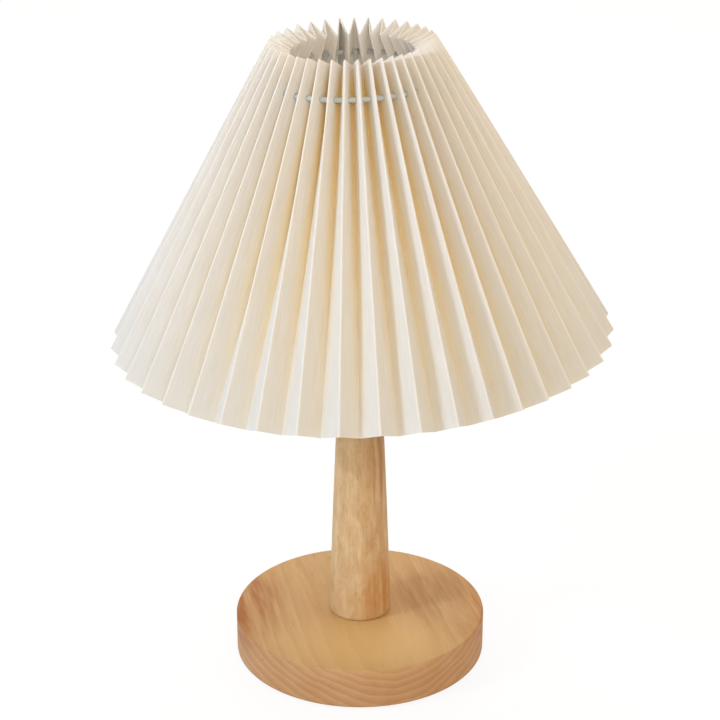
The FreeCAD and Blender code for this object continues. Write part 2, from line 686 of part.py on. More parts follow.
# The pleats crowd towards one side, and waver a little this many times around.
SWAYS = 3
LEAN = FreeCAD.Placement(FreeCAD.Vector(), FreeCAD.Rotation(AXIS_Y, -size("Dims.shade_lean")),
                         FreeCAD.Vector(0, 0, size(FITTER)))


def ridge_angle(index):
    """Return the angle of an outer fold, from the front towards +X, in radians."""
    even = 2 * math.pi * index / PLEATS + math.radians(size("Dims.pleat_phase"))
    gather = size("Dims.pleat_gather") * math.sin(even - math.radians(size("Dims.gather_side")))
    sway = size("Dims.pleat_sway") * math.sin(SWAYS * even + math.radians(size("Dims.sway_side")))
    return even + (sway - gather) / RIM_R


def on_slope(slant, depth):
    """Return the (radius, height) of a place on the upright cone."""
    radius = TOP_R + slant * SLOPE_OUT - depth * SLOPE_DOWN
    height = TOP_Z - slant * SLOPE_DOWN - depth * SLOPE_OUT
    return radius, height


def around(angle, radius, height):
    """Return the point at an angle from the front."""
    return FreeCAD.Vector(radius * math.sin(angle), -radius * math.cos(angle), height)


RIDGES = [ridge_angle(index) for index in range(PLEATS + 1)]
HALF_STEPS = [(after - before) / 2 for before, after in zip(RIDGES, RIDGES[1:])]
WIDEST = RIM_R * math.sin(max(HALF_STEPS))
PANEL = math.hypot(WIDEST, size("Dims.rim_fold_depth"))


def fold_depth(half_step, slant):
    """Return how deep a pleat of the constant panel width folds at a slant."""
    half_width = (TOP_R + slant * SLOPE_OUT) * math.sin(half_step)
    return math.sqrt(PANEL * PANEL - half_width * half_width)


def skin_gap(half_step, slant):
    """Return the sheet's thickness measured along the depth of a pleat."""
    half_width = (TOP_R + slant * SLOPE_OUT) * math.sin(half_step)
    return SHEET * PANEL / half_width


def fold_points(index, slant):
    """Return outer ridge, inner ridge, outer valley and inner valley of a pleat at one end."""
    pleat = index % PLEATS
    half = HALF_STEPS[pleat]
    before = HALF_STEPS[pleat - 1]
    ridge_gap = (skin_gap(half, slant) + skin_gap(before, slant)) / 2
    depth = fold_depth(half, slant)
    ridge = RIDGES[pleat]
    valley = ridge + half
    return (
        around(ridge, *on_slope(slant, 0)),
        around(ridge, *on_slope(slant, ridge_gap)),
        around(valley, *on_slope(slant, depth)),
        around(valley, *on_slope(slant, depth + skin_gap(half, slant))),
    )


def panel_face(top_a, rim_a, top_b, rim_b):
    """Return the ruled face between two fold lines."""
    return Part.makeRuledSurface(Part.makeLine(top_a, rim_a), Part.makeLine(top_b, rim_b))


def end_face(ridge_out, ridge_in, valley_out, valley_in):
    """Return the flat cut end of one panel."""
    return Part.Face(Part.makePolygon([ridge_out, valley_out, valley_in, ridge_in, ridge_out]))


def folded_sheet():
    """Return the pleated sheet as one upright solid without holes."""
    tops = [fold_points(index, 0) for index in range(PLEATS)]
    rims = [fold_points(index, SLANT) for index in range(PLEATS)]
    faces = []
    for index in range(PLEATS):
        after = (index + 1) % PLEATS
        for ridge in (index, after):
            for skin in (0, 1):
                faces.append(panel_face(tops[ridge][skin], rims[ridge][skin],
                                        tops[index][skin + 2], rims[index][skin + 2]))
            for ends in (tops, rims):
                faces.append(end_face(ends[ridge][0], ends[ridge][1],
                                      ends[index][2], ends[index][3]))
    shell = Part.makeShell(faces)
    shell.sewShape()
    solid = Part.makeSolid(Part.makeShell(shell.Faces))
    return solid if solid.Volume > 0 else solid.reversed()


RING_R, RING_Z = on_slope(size("Dims.ring_slant"), size("Dims.ring_depth"))
hole_cutter = Part.makeTorus(RING_R, size(WIRE_R) + size("Dims.hole_gap"),
                             FreeCAD.Vector(0, 0, RING_Z), AXIS_Z)
pleated_sheet = computed("pleated_sheet", folded_sheet().cut(hole_cutter))
pleated_sheet.Placement = LEAN

# Wire frame: fitter ring on the shoulder, ring through the pleats, ring inside the rim.
RIM_RING_SLANT = SLANT - size("Dims.rim_ring_up")


def inner_reach(half_step, slant):
    """Return the depth of a pleat's inner fold, which runs straight from top to rim."""
    ends = [fold_depth(half_step, end) + skin_gap(half_step, end) for end in (0, SLANT)]
    return ends[0] + (ends[1] - ends[0]) * slant / SLANT


RIM_RING_DEPTH = (max(inner_reach(half, RIM_RING_SLANT) for half in HALF_STEPS)
                  + size("Dims.seat_gap") + size(WIRE_R))
RIM_RING_R, RIM_RING_Z = on_slope(RIM_RING_SLANT, RIM_RING_DEPTH)


def level(height):
    """Return the placement of a flat ring on the axis at a height."""
    return FreeCAD.Placement(FreeCAD.Vector(0, 0, height), FreeCAD.Rotation())


wire_ring("fitter_ring", FITTER_R, WIRE_R, level(size(FITTER)))
wire_ring("top_ring", str(RING_R), WIRE_R, LEAN.multiply(level(RING_Z)))
wire_ring("bottom_ring", str(RIM_RING_R), WIRE_R, LEAN.multiply(level(RIM_RING_Z)))

ARM_R = size("Dims.arm_wire / 2")
SIDE_BY_SIDE = size(WIRE_R) + ARM_R + size("Dims.weld_gap")
OVERRUN = size("Dims.wire_overrun")
SETTLE_STEPS = 8
# Where the first arm and the first rib stand, as shares of their own spacing from the front.
FIRST_ARM = 0.5
FIRST_RIB = 0.25


def ridge_near(angle):
    """Return the angle of the outer fold nearest to a given angle."""
    spread = [abs(math.remainder(ridge - angle, 2 * math.pi)) for ridge in RIDGES]
    return RIDGES[spread.index(min(spread))]


def round_wire(path, start, direction):
    """Return a round wire swept along a path."""
    circle = Part.Wire(Part.makeCircle(ARM_R, start, direction))
    return path.makePipeShell([circle], True, False)


def straight_wire(start, end):
    """Return a straight round wire between two points."""
    return Part.makeCylinder(ARM_R, (end - start).Length, start, end - start)


def beside(start, centre, gap, side):
    """Return where a line from start passes beside a centre, in an upright (radius, height) plane."""
    aim = centre
    for step in range(SETTLE_STEPS):
        along = FreeCAD.Vector(aim[0] - start[0], aim[1] - start[1], 0).normalize()
        aim = (centre[0] + side * along.y * gap, centre[1] - side * along.x * gap)
    return aim, along


def spider_arm(angle):
    """Return one arm from the fitter ring, out and up to the inside of the top ring."""
    knee = (size("Dims.arm_reach"), size(FITTER))
    aim, along = beside(knee, (RING_R, RING_Z), SIDE_BY_SIDE, -1)
    tip = LEAN.multVec(around(angle, aim[0] + along.x * OVERRUN, aim[1] + along.y * OVERRUN))
    root_r = size(FITTER_R) + size(WIRE_R) + size("Dims.weld_gap")
    root = around(angle, root_r, knee[1])
    bend = around(angle, *knee)
    inward = (root - bend).normalize()
    upward = (tip - bend).normalize()
    half_turn = inward.getAngle(upward) / 2
    radius = size("Dims.arm_bend")
    setback = radius / math.tan(half_turn)
    middle = (inward + upward).normalize() * (radius / math.sin(half_turn) - radius)
    arc = Part.Arc(bend + inward * setback, bend + middle, bend + upward * setback)
    path = Part.Wire([
        Part.makeLine(root, bend + inward * setback),
        arc.toShape(),
        Part.makeLine(bend + upward * setback, tip),
    ])
    return round_wire(path, root, inward)


def frame_rib(angle):
    """Return one rib from the inside of the top ring to the outside of the rim ring."""
    top = (RING_R, RING_Z)
    rim = (RIM_RING_R, RIM_RING_Z)
    for step in range(SETTLE_STEPS):
        rim_aim, along = beside(top, (RIM_RING_R, RIM_RING_Z), SIDE_BY_SIDE, -1)
        top = (RING_R + along.y * SIDE_BY_SIDE, RING_Z - along.x * SIDE_BY_SIDE)
        rim = rim_aim
    start = around(angle, top[0] - along.x * OVERRUN, top[1] - along.y * OVERRUN)
    end = around(angle, rim[0] + along.x * OVERRUN, rim[1] + along.y * OVERRUN)
    return straight_wire(LEAN.multVec(start), LEAN.multVec(end))


ARMS = int(round(size("Dims.arm_count")))
RIBS = int(round(size("Dims.rib_count")))
arm_angles = [ridge_near(2 * math.pi * (index + FIRST_ARM) / ARMS) for index in range(ARMS)]
rib_angles = [ridge_near(2 * math.pi * (index + FIRST_RIB) / RIBS) for index in range(RIBS)]
computed("spider_arms", Part.makeCompound([spider_arm(angle) for angle in arm_angles]))
computed("frame_ribs", Part.makeCompound([frame_rib(angle) for angle in rib_angles]))

# Every piece is rebuilt, checked and written as its own file.
DOC.recompute()
for item in DOC.Objects:
    if "Invalid" in item.State or "Error" in item.State:
        raise RuntimeError(f"{item.Name} did not rebuild")
os.makedirs("parts", exist_ok=True)
for piece in NODES:
    if piece.Shape.isNull() or not piece.Shape.isValid():
        raise RuntimeError(f"{piece.Label} has no valid shape")
    piece.Shape.exportStep(f"parts/{piece.Label}.step")
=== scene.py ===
"""Looks of a pleated table lamp: finishes for its CAD pieces, a folded sheet, welds and studio.

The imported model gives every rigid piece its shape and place. The pleated sheet is modelled here as
a thin folded strip, in place of its plain solid, and the wire frame gets the beads of its welds.
Everything is in the frame of the CAD model, Z up the post and the front facing -Y. Sizes in the
classes are millimetres, apart from those of the studio, which are metres.
"""

import logging
import math
import random
from dataclasses import dataclass, field, replace
from enum import Enum

import bpy
import numpy as np
from mathutils import Matrix, Vector


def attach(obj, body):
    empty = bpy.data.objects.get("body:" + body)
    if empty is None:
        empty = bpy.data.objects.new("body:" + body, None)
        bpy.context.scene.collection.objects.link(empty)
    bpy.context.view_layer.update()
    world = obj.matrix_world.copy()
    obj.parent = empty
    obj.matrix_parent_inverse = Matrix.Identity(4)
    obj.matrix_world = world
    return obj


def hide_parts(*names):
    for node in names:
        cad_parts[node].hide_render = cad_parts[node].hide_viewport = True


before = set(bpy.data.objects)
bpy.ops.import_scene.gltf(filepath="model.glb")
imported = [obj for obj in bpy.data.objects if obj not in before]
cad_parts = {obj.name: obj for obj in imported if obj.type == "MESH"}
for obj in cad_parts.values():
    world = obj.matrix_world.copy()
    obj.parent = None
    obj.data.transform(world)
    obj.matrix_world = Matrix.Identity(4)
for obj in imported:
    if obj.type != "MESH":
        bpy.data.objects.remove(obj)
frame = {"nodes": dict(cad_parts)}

MM = 0.001
WHITE = "#FFFFFF"
# A Mix node of colours has its two inputs and its output at these indices.
FIRST, SECOND, MIXED = 6, 7, 2
# The rings of a Wave texture repeat after this much of its scaled coordinates.
WAVE_PERIOD = 0.314
LOG = logging.getLogger("table_lamp")
Colour = tuple[float, float, float, float]
Spot = tuple[float, float, float]
Span = tuple[float, float]
Values = dict[str | int, object]
Tree = bpy.types.NodeTree
Socket = bpy.types.NodeSocket


class Body(Enum):
    """Moving bodies of the lamp that new pieces ride on."""

    SHADE = "shade"


class Slot(Enum):
    """Material slots of the record for the new pieces' finishes; nothing in this script uses them.
    """

    PAPER = "pleated_paper"
    WIRE = "wire"


class Grain(Enum):
    """Which way the fibres of a wooden piece run."""

    LYING = "lying"
    UPRIGHT = "upright"


def linear(code: str) -> Colour:
    """Turn an sRGB hex value into the linear colour that a shader takes.

    Args:
        code: colour as "#RRGGBB".

    Returns:
        Linear red, green and blue, and an alpha of 1.
    """
    channels = [int(code[start:start + 2], 16) / 255 for start in (1, 3, 5)]
    red, green, blue = (
        value / 12.92 if value <= 0.04045 else ((value + 0.055) / 1.055) ** 2.4
        for value in channels
    )
    return red, green, blue, 1.0


def per_size(size: float) -> float:
    """Return the texture scale that gives features of a size in millimetres."""
    return 1.0 / (size * MM)


def add_node(tree: Tree, kind: str, inputs: Values | None = None,
             **settings: object) -> bpy.types.Node:
    """Add a shader node with its settings, values and links.

    Args:
        tree: node tree that takes the node.
        kind: type name of the node, without its ShaderNode prefix.
        inputs: value, or feeding socket, for each input by name or index.
        settings: properties of the node.

    Returns:
        The new node.
    """
    node = tree.nodes.new("ShaderNode" + kind)
    for name, value in settings.items():
        setattr(node, name, value)
    for name, value in (inputs or {}).items():
        if isinstance(value, Socket):
            tree.links.new(value, node.inputs[name])
        else:
            node.inputs[name].default_value = value
    return node


@dataclass(frozen=True)
class Finish:
    """A surface finish, made into one material that its pieces share."""

    name: str
    roughness: float = 0.5
    ior: float = 1.5
    metallic: float = 0.0

    def material(self) -> bpy.types.Material:
        """Find the finish's material, or make it on first use.

        Returns:
            The material.
        """
        made = bpy.data.materials.get(self.name)
        if made is None:
            made = bpy.data.materials.new(self.name)
            made.use_nodes = True
            tree = made.node_tree
            tree.nodes.clear()
            inputs = {"Roughness": self.roughness, "Metallic": self.metallic, **self.paint(tree)}
            if not self.metallic:
                inputs["IOR"] = self.ior
            shader = add_node(tree, "BsdfPrincipled", inputs)
            add_node(tree, "OutputMaterial", {"Surface": shader.outputs["BSDF"]})
        return made

    def paint(self, tree: Tree) -> Values:
        """Draw what is the finish's own.

        Args:
            tree: node tree of the material.

        Returns:
            Value, or feeding socket, for each input of the shader that the finish sets.
        """
        raise NotImplementedError


@dataclass(frozen=True)
class WoodZone:
    """A zone of other colour in wood that fades out from its centre, streaked or even; it lays the
    wood's own stains, and also painted light and painted shade.
    """

    colour: str
    centre: Spot
    reach: Spot
    strength: float
    streaked: bool = True
    core: float = 0.15

    def lay(self, tree: Tree, place: Socket, streak: Socket, ground: Socket) -> Socket:
        """Lay the zone over a ground colour.

        Args:
            tree: node tree of the wood.
            place: object coordinates.
            streak: factor that is larger in the streaks.
            ground: colour so far.

        Returns:
            The colour with the zone.
        """
        away = add_node(tree, "VectorMath", {0: place, 1: Vector(self.centre) * MM},
                        operation="SUBTRACT")
        scale = [per_size(reach) for reach in self.reach]
        share = add_node(tree, "VectorMath", {0: away.outputs[0], 1: scale}, operation="MULTIPLY")
        length = add_node(tree, "VectorMath", {0: share.outputs[0]}, operation="LENGTH")
        near = add_node(tree, "MapRange", {
            "Value": length.outputs["Value"], "From Min": self.core, "From Max": 1.0,
            "To Min": self.strength, "To Max": 0.0,
        }, interpolation_type="SMOOTHSTEP")
        amount = add_node(tree, "Math", {0: near.outputs[0], 1: streak if self.streaked else 1.0},
                          operation="MULTIPLY")
        mixed = add_node(tree, "Mix", {"Factor": amount.outputs[0], FIRST: ground,
                                       SECOND: linear(self.colour)}, data_type="RGBA")
        return mixed.outputs[MIXED]


@dataclass(frozen=True)
class OiledWood(Finish):
    """Rubberwood, turned, sanded and oiled."""

    # To the eye: a pale golden ground with soft darker ring lines, straight fibres and scattered
    # short pores under a satin sheen. End grain takes more oil, so it is darker and pinker. Real
    # fibres are 0.02 mm and pores 0.3 mm wide, and both are drawn coarser here so that they show.
    grain: Grain = Grain.LYING
    turn_deg: float = 0.0
    pith: Spot = (0.0, 0.0, 0.0)
    pale: str = "#D5AC76"
    middle: str = "#CB9D62"
    late: str = "#B07D4A"
    pore: str = "#8A5B31"
    end_grain: str = "#F3EDFC"
    wood_zones: tuple[WoodZone, ...] = ()
    ring_width: float = 5.0
    ring_strength: float = 0.35
    ring_strength_at_ends: float = 0.4
    ring_tones: Span = (0.08, 0.86)
    wander_width: float = 55.0
    wander_length: float = 250.0
    wander_reach: float = 16.0
    end_radius: float = 1000.0
    end_depths: Span = (1.3, 0.2)
    figure_width: float = 20.0
    figure_length: float = 90.0
    figure_range: Span = (0.35, 0.68)
    fibre_width: float = 0.8
    fibre_length: float = 24.0
    fibre_range: Span = (0.3, 0.7)
    fibre_tones: Span = (0.9, 1.05)
    pore_width: float = 1.1
    pore_length: float = 8.0
    pore_gap: float = 1.7
    pore_share: float = 0.13
    pore_range: Span = (0.08, 0.3)
    pore_strength: float = 0.36
    streak_width: float = 4.0
    streak_length: float = 40.0
    streak_range: Span = (0.34, 0.62)
    streak_strength: Span = (0.25, 1.15)
    satin_spread: Span = (-0.08, 0.1)
    relief: float = 0.22
    relief_depth: float = 0.15
    gloss: float = 0.2

    def follow_grain(self, tree: Tree, place: Socket) -> Socket:
        """Turn coordinates so that Z runs along the fibres and starts at the pith.

        Args:
            tree: node tree of the wood.
            place: object coordinates.

        Returns:
            Coordinates along the grain.
        """
        spin = Matrix.Rotation(math.radians(self.turn_deg), 3, "Z")
        if self.grain is Grain.LYING:
            spin = Matrix.Rotation(math.radians(90), 3, "X") @ spin
        shift = spin @ Vector(self.pith) * -MM
        turned = add_node(tree, "Mapping", {"Vector": place, "Rotation": spin.to_euler(),
                                            "Location": shift})
        return turned.outputs[0]

    def bend(self, tree: Tree, along: Socket) -> Socket:
        """Let the grain wander as it does in a tree.

        Args:
            tree: node tree of the wood.
            along: coordinates along the grain.

        Returns:
            Coordinates along the wandering grain.
        """
        drift = add_node(tree, "VectorMath", {
            0: along, 1: (1.0, 1.0, self.wander_width / self.wander_length),
        }, operation="MULTIPLY")
        wander = add_node(tree, "TexNoise", {
            "Vector": drift.outputs[0], "Scale": per_size(self.wander_width), "Detail": 3.0,
            "Roughness": 0.55,
        })
        sway = add_node(tree, "VectorMath", {0: wander.outputs["Color"], 1: (0.5, 0.5, 0.5)},
                        operation="SUBTRACT")
        reach = self.wander_reach * MM
        bent = add_node(tree, "VectorMath", {0: sway.outputs[0], 1: (reach, reach, 0.0), 2: along},
                        operation="MULTIPLY_ADD")
        return bent.outputs[0]

    def ends(self, tree: Tree, place: Socket) -> Socket:
        """Find the turned side of a lying board, where its fibres end.

        Args:
            tree: node tree of the wood.
            place: object coordinates.

        Returns:
            A factor that is 1 on the end grain.
        """
        flat = add_node(tree, "VectorMath", {0: place, 1: (1.0, 1.0, 0.0)}, operation="MULTIPLY")
        radius = add_node(tree, "VectorMath", {0: flat.outputs[0]}, operation="LENGTH")
        start, full = ((self.end_radius - depth) * MM for depth in self.end_depths)
        near = add_node(tree, "MapRange", {"Value": radius.outputs["Value"], "From Min": start,
                                           "From Max": full})
        return near.outputs[0]

    def ground(self, tree: Tree, along: Socket, bent: Socket, ends: Socket) -> Socket:
        """Draw the soft figure and the yearly rings.

        Args:
            tree: node tree of the wood.
            along: coordinates along the grain.
            bent: coordinates along the wandering grain.
            ends: factor that is 1 on the end grain.

        Returns:
            The ground colour.
        """
        rings = add_node(tree, "TexWave", {
            "Vector": bent, "Scale": WAVE_PERIOD * per_size(self.ring_width), "Distortion": 0.6,
            "Detail": 2.0, "Detail Scale": 0.4,
        }, wave_type="RINGS", rings_direction="Z", wave_profile="SAW")
        tone = add_node(tree, "ValToRGB", {"Fac": rings.outputs["Color"]})
        early, late = self.ring_tones
        tone.color_ramp.elements[0].color = linear(self.pale)
        tone.color_ramp.elements[0].position = early
        tone.color_ramp.elements[1].color = linear(self.middle)
        tone.color_ramp.elements.new(late).color = linear(self.late)
        ringed = add_node(tree, "MapRange", {"Value": ends, "To Min": self.ring_strength,
                                             "To Max": self.ring_strength_at_ends})
        long = add_node(tree, "VectorMath", {
            0: along, 1: (1.0, 1.0, self.figure_width / self.figure_length),
        }, operation="MULTIPLY")
        broad = add_node(tree, "TexNoise", {
            "Vector": long.outputs[0], "Scale": per_size(self.figure_width), "Detail": 5.0,
            "Roughness": 0.62, "Distortion": 0.4,
        })
        low, high = self.figure_range
        blotch = add_node(tree, "MapRange", {"Value": broad.outputs["Fac"], "From Min": low,
                                             "From Max": high})
        figure = add_node(tree, "Mix", {
            "Factor": blotch.outputs[0], FIRST: linear(self.pale), SECOND: linear(self.middle),
        }, data_type="RGBA")
        body = add_node(tree, "Mix", {
            "Factor": ringed.outputs[0], FIRST: figure.outputs[MIXED],
            SECOND: tone.outputs["Color"],
        }, data_type="RGBA")
        return body.outputs[MIXED]

    def fibres(self, tree: Tree, along: Socket) -> Socket:
        """Draw the fine fibres.

        Args:
            tree: node tree of the wood.
            along: coordinates along the grain.

        Returns:
            A factor that goes up and down from fibre to fibre.
        """
        thin = add_node(tree, "VectorMath", {
            0: along, 1: (1.0, 1.0, self.fibre_width / self.fibre_length),
        }, operation="MULTIPLY")
        fine = add_node(tree, "TexNoise", {
            "Vector": thin.outputs[0], "Scale": per_size(self.fibre_width), "Detail": 3.0,
            "Roughness": 0.65,
        })
        return fine.outputs["Fac"]

    def pores(self, tree: Tree, bent: Socket, ground: Socket) -> Socket:
        """Scatter short dark pores along the grain.

        Args:
            tree: node tree of the wood.
            bent: coordinates along the wandering grain.
            ground: colour so far.

        Returns:
            The colour with its pores.
        """
        dash = add_node(tree, "VectorMath", {
            0: bent, 1: (1.0, 1.0, self.pore_width / self.pore_length),
        }, operation="MULTIPLY")
        cells = add_node(tree, "TexVoronoi", {
            "Vector": dash.outputs[0], "Scale": per_size(self.pore_width * self.pore_gap),
        })
        chance = add_node(tree, "SeparateXYZ", {0: cells.outputs["Color"]})
        kept = add_node(tree, "Math", {0: chance.outputs["X"], 1: self.pore_share},
                        operation="LESS_THAN")
        core, rim = self.pore_range
        dark = add_node(tree, "MapRange", {
            "Value": cells.outputs["Distance"], "From Min": core, "From Max": rim,
            "To Min": self.pore_strength, "To Max": 0.0,
        })
        amount = add_node(tree, "Math", {0: dark.outputs[0], 1: kept.outputs[0]},
                          operation="MULTIPLY")
        mixed = add_node(tree, "Mix", {"Factor": amount.outputs[0], FIRST: ground,
                                       SECOND: linear(self.pore)}, data_type="RGBA")
        return mixed.outputs[MIXED]

    def streaks(self, tree: Tree, bent: Socket) -> Socket:
        """Draw the streaks that zones of other colour follow.

        Args:
            tree: node tree of the wood.
            bent: coordinates along the wandering grain.

        Returns:
            A factor that is larger in the streaks.
        """
        wide = add_node(tree, "VectorMath", {
            0: bent, 1: (1.0, 1.0, self.streak_width / self.streak_length),
        }, operation="MULTIPLY")
        bands = add_node(tree, "TexNoise", {
            "Vector": wide.outputs[0], "Scale": per_size(self.streak_width), "Detail": 3.0,
        })
        low, high = self.streak_range
        weak, strong = self.streak_strength
        streak = add_node(tree, "MapRange", {
            "Value": bands.outputs["Fac"], "From Min": low, "From Max": high, "To Min": weak,
            "To Max": strong,
        })
        return streak.outputs[0]

    def paint(self, tree: Tree) -> Values:
        """Draw rings about the pith, then fibres, pores, colour zones and end grain over them.

        Args:
            tree: node tree of the material.

        Returns:
            Feed of the shader's colour, roughness and relief, and its gloss.
        """
        place = add_node(tree, "TexCoord").outputs["Object"]
        along = self.follow_grain(tree, place)
        bent = self.bend(tree, along)
        ends = self.ends(tree, place)
        fibres = self.fibres(tree, along)
        low, high = self.fibre_range
        dark, light = self.fibre_tones
        fine = add_node(tree, "MapRange", {"Value": fibres, "From Min": low, "From Max": high,
                                           "To Min": dark, "To Max": light})
        grained = add_node(tree, "Mix", {
            "Factor": 1.0, FIRST: self.ground(tree, along, bent, ends), SECOND: fine.outputs[0],
        }, data_type="RGBA", blend_type="MULTIPLY")
        colour = self.pores(tree, bent, grained.outputs[MIXED])
        streak = self.streaks(tree, bent)
        for wood_zone in self.wood_zones:
            colour = wood_zone.lay(tree, place, streak, colour)
        oiled = add_node(tree, "Mix", {
            "Factor": ends, FIRST: colour, SECOND: linear(self.end_grain),
        }, data_type="RGBA", blend_type="MULTIPLY")
        smooth, rough = (self.roughness + change for change in self.satin_spread)
        satin = add_node(tree, "MapRange", {"Value": fibres, "To Min": smooth, "To Max": rough})
        relief = add_node(tree, "Bump", {"Height": fibres, "Strength": self.relief,
                                         "Distance": self.relief_depth * MM})
        return {"Base Color": oiled.outputs[MIXED], "Roughness": satin.outputs[0],
                "Normal": relief.outputs["Normal"], "Specular IOR Level": self.gloss}


@dataclass(frozen=True)
class PleatedPaper(Finish):
    """Cream paper laminate, rolled with a linen-like fibre, scored and folded."""

    # To the eye: a soft matt cream that lets light through, with faint upright fibres. Painted shade
    # makes it darker and cooler at the rim than at the gathered top, the outer folds are paler,
    # partly where they rub and partly as a painted highlight, and the deep folds hold a warm painted
    # shade.
    # Real fibres are about 0.2 mm wide, and are drawn coarser here so that they show.
    strip_length: float = 1000.0
    strip_width: float = 200.0
    sheet: str = "#EFE9E1"
    # Painted shade: the sheet's tone at the rim, darker and cooler than at the top.
    shaded_rim_sheet: str = "#DEDDD9"
    fibre: str = "#CDBFAB"
    # Outer folds: paler, partly where they rub and partly as a painted highlight.
    fold: str = "#F1ECE5"
    # Painted shade: the warm tint deep in the inner folds, stronger towards the top.
    inner: str = "#EFD28A"
    fold_shade_at_rim: float = 0.08
    fold_shade_at_top: float = 0.85
    inner_from: float = 0.3
    cut_edge: Span = (0.94, 0.985)
    cut_edge_share: float = 0.1
    fold_range: Span = (0.02, 0.08)
    fold_strength: float = 0.55
    fibre_width: float = 0.9
    fibre_length: float = 22.0
    fibre_range: Span = (0.3, 0.62)
    fibre_strength: float = 0.28
    matt_spread: Span = (-0.06, 0.08)
    relief: float = 0.16
    relief_depth: float = 0.1
    see_through: float = 0.6
    scatter: float = 0.75
    scatter_hue: Spot = (1.0, 0.92, 0.8)

    def fibres(self, tree: Tree) -> Socket:
        """Draw the fibres along the strip's own map.

        Args:
            tree: node tree of the paper.

        Returns:
            A factor that goes up and down from fibre to fibre.
        """
        strip = add_node(tree, "UVMap", uv_map="strip")
        real = add_node(tree, "Mapping", {
            "Vector": strip.outputs[0],
            "Scale": (self.strip_length * MM, self.strip_width * MM, 1.0),
        })
        drawn = add_node(tree, "VectorMath", {
            0: real.outputs[0], 1: (1.0, self.fibre_width / self.fibre_length, 1.0),
        }, operation="MULTIPLY")
        fine = add_node(tree, "TexNoise", {
            "Vector": drawn.outputs[0], "Scale": per_size(self.fibre_width), "Detail": 3.0,
            "Roughness": 0.6,
        })
        return fine.outputs["Fac"]

    def painted_fold_shade(self, tree: Tree, depth: Socket, height: Socket) -> Socket:
        """Find the deep folds for warm painted shade, stronger towards the top but not on its cut
        edge.

        Args:
            tree: node tree of the paper.
            depth: 0 on an outer fold to 1 on an inner fold.
            height: 0 at the rim to 1 at the top.

        Returns:
            The share of the painted shade's warm colour.
        """
        deep = add_node(tree, "MapRange", {"Value": depth, "From Min": self.inner_from,
                                           "From Max": 1.0}, interpolation_type="SMOOTHSTEP")
        high = add_node(tree, "MapRange", {"Value": height, "To Min": self.fold_shade_at_rim,
                                           "To Max": self.fold_shade_at_top})
        start, end = self.cut_edge
        inside = add_node(tree, "MapRange", {"Value": height, "From Min": start, "From Max": end,
                                             "To Min": 1.0, "To Max": self.cut_edge_share})
        tint = add_node(tree, "Math", {0: high.outputs[0], 1: inside.outputs[0]},
                        operation="MULTIPLY")
        warm = add_node(tree, "Math", {0: deep.outputs[0], 1: tint.outputs[0]},
                        operation="MULTIPLY")
        return warm.outputs[0]

    def paint(self, tree: Tree) -> Values:
        """Lay the fibres over a tone with painted shade at the rim, then paint the folds' highlight
        and shade.

        Args:
            tree: node tree of the material.

        Returns:
            Feed of the shader's colour, roughness and relief, and how far light spreads inside.
        """
        fibres = self.fibres(tree)
        low, high = self.fibre_range
        amount = add_node(tree, "MapRange", {"Value": fibres, "From Min": low, "From Max": high,
                                             "To Min": self.fibre_strength, "To Max": 0.0})
        folds = add_node(tree, "UVMap", uv_map="folds")
        across = add_node(tree, "SeparateXYZ", {0: folds.outputs[0]})
        depth, height = across.outputs["X"], across.outputs["Y"]
        # Painted shade: the tone grows darker and cooler towards the rim.
        tone = add_node(tree, "Mix", {
            "Factor": height, FIRST: linear(self.shaded_rim_sheet), SECOND: linear(self.sheet),
        }, data_type="RGBA")
        ground = add_node(tree, "Mix", {
            "Factor": amount.outputs[0], FIRST: tone.outputs[MIXED], SECOND: linear(self.fibre),
        }, data_type="RGBA")
        # Paler outer folds: partly rubbed, partly a painted highlight.
        crest, flank = self.fold_range
        rubbed_and_highlit = add_node(tree, "MapRange", {"Value": depth, "From Min": crest, "From Max": flank,
                                           "To Min": self.fold_strength, "To Max": 0.0})
        edged = add_node(tree, "Mix", {
            "Factor": rubbed_and_highlit.outputs[0], FIRST: ground.outputs[MIXED], SECOND: linear(self.fold),
        }, data_type="RGBA")
        # Painted shade: a warm tint in the deep folds.
        toned = add_node(tree, "Mix", {
            "Factor": self.painted_fold_shade(tree, depth, height), FIRST: edged.outputs[MIXED],
            SECOND: linear(self.inner),
        }, data_type="RGBA")
        relief = add_node(tree, "Bump", {"Height": fibres, "Strength": self.relief,
                                         "Distance": self.relief_depth * MM})
        smooth, rough = (self.roughness + change for change in self.matt_spread)
        matt = add_node(tree, "MapRange", {"Value": fibres, "To Min": smooth, "To Max": rough})
        return {"Base Color": toned.outputs[MIXED], "Roughness": matt.outputs[0],
                "Normal": relief.outputs["Normal"], "Subsurface Weight": self.scatter,
                "Subsurface Radius": self.scatter_hue,
                "Subsurface Scale": self.see_through * MM}


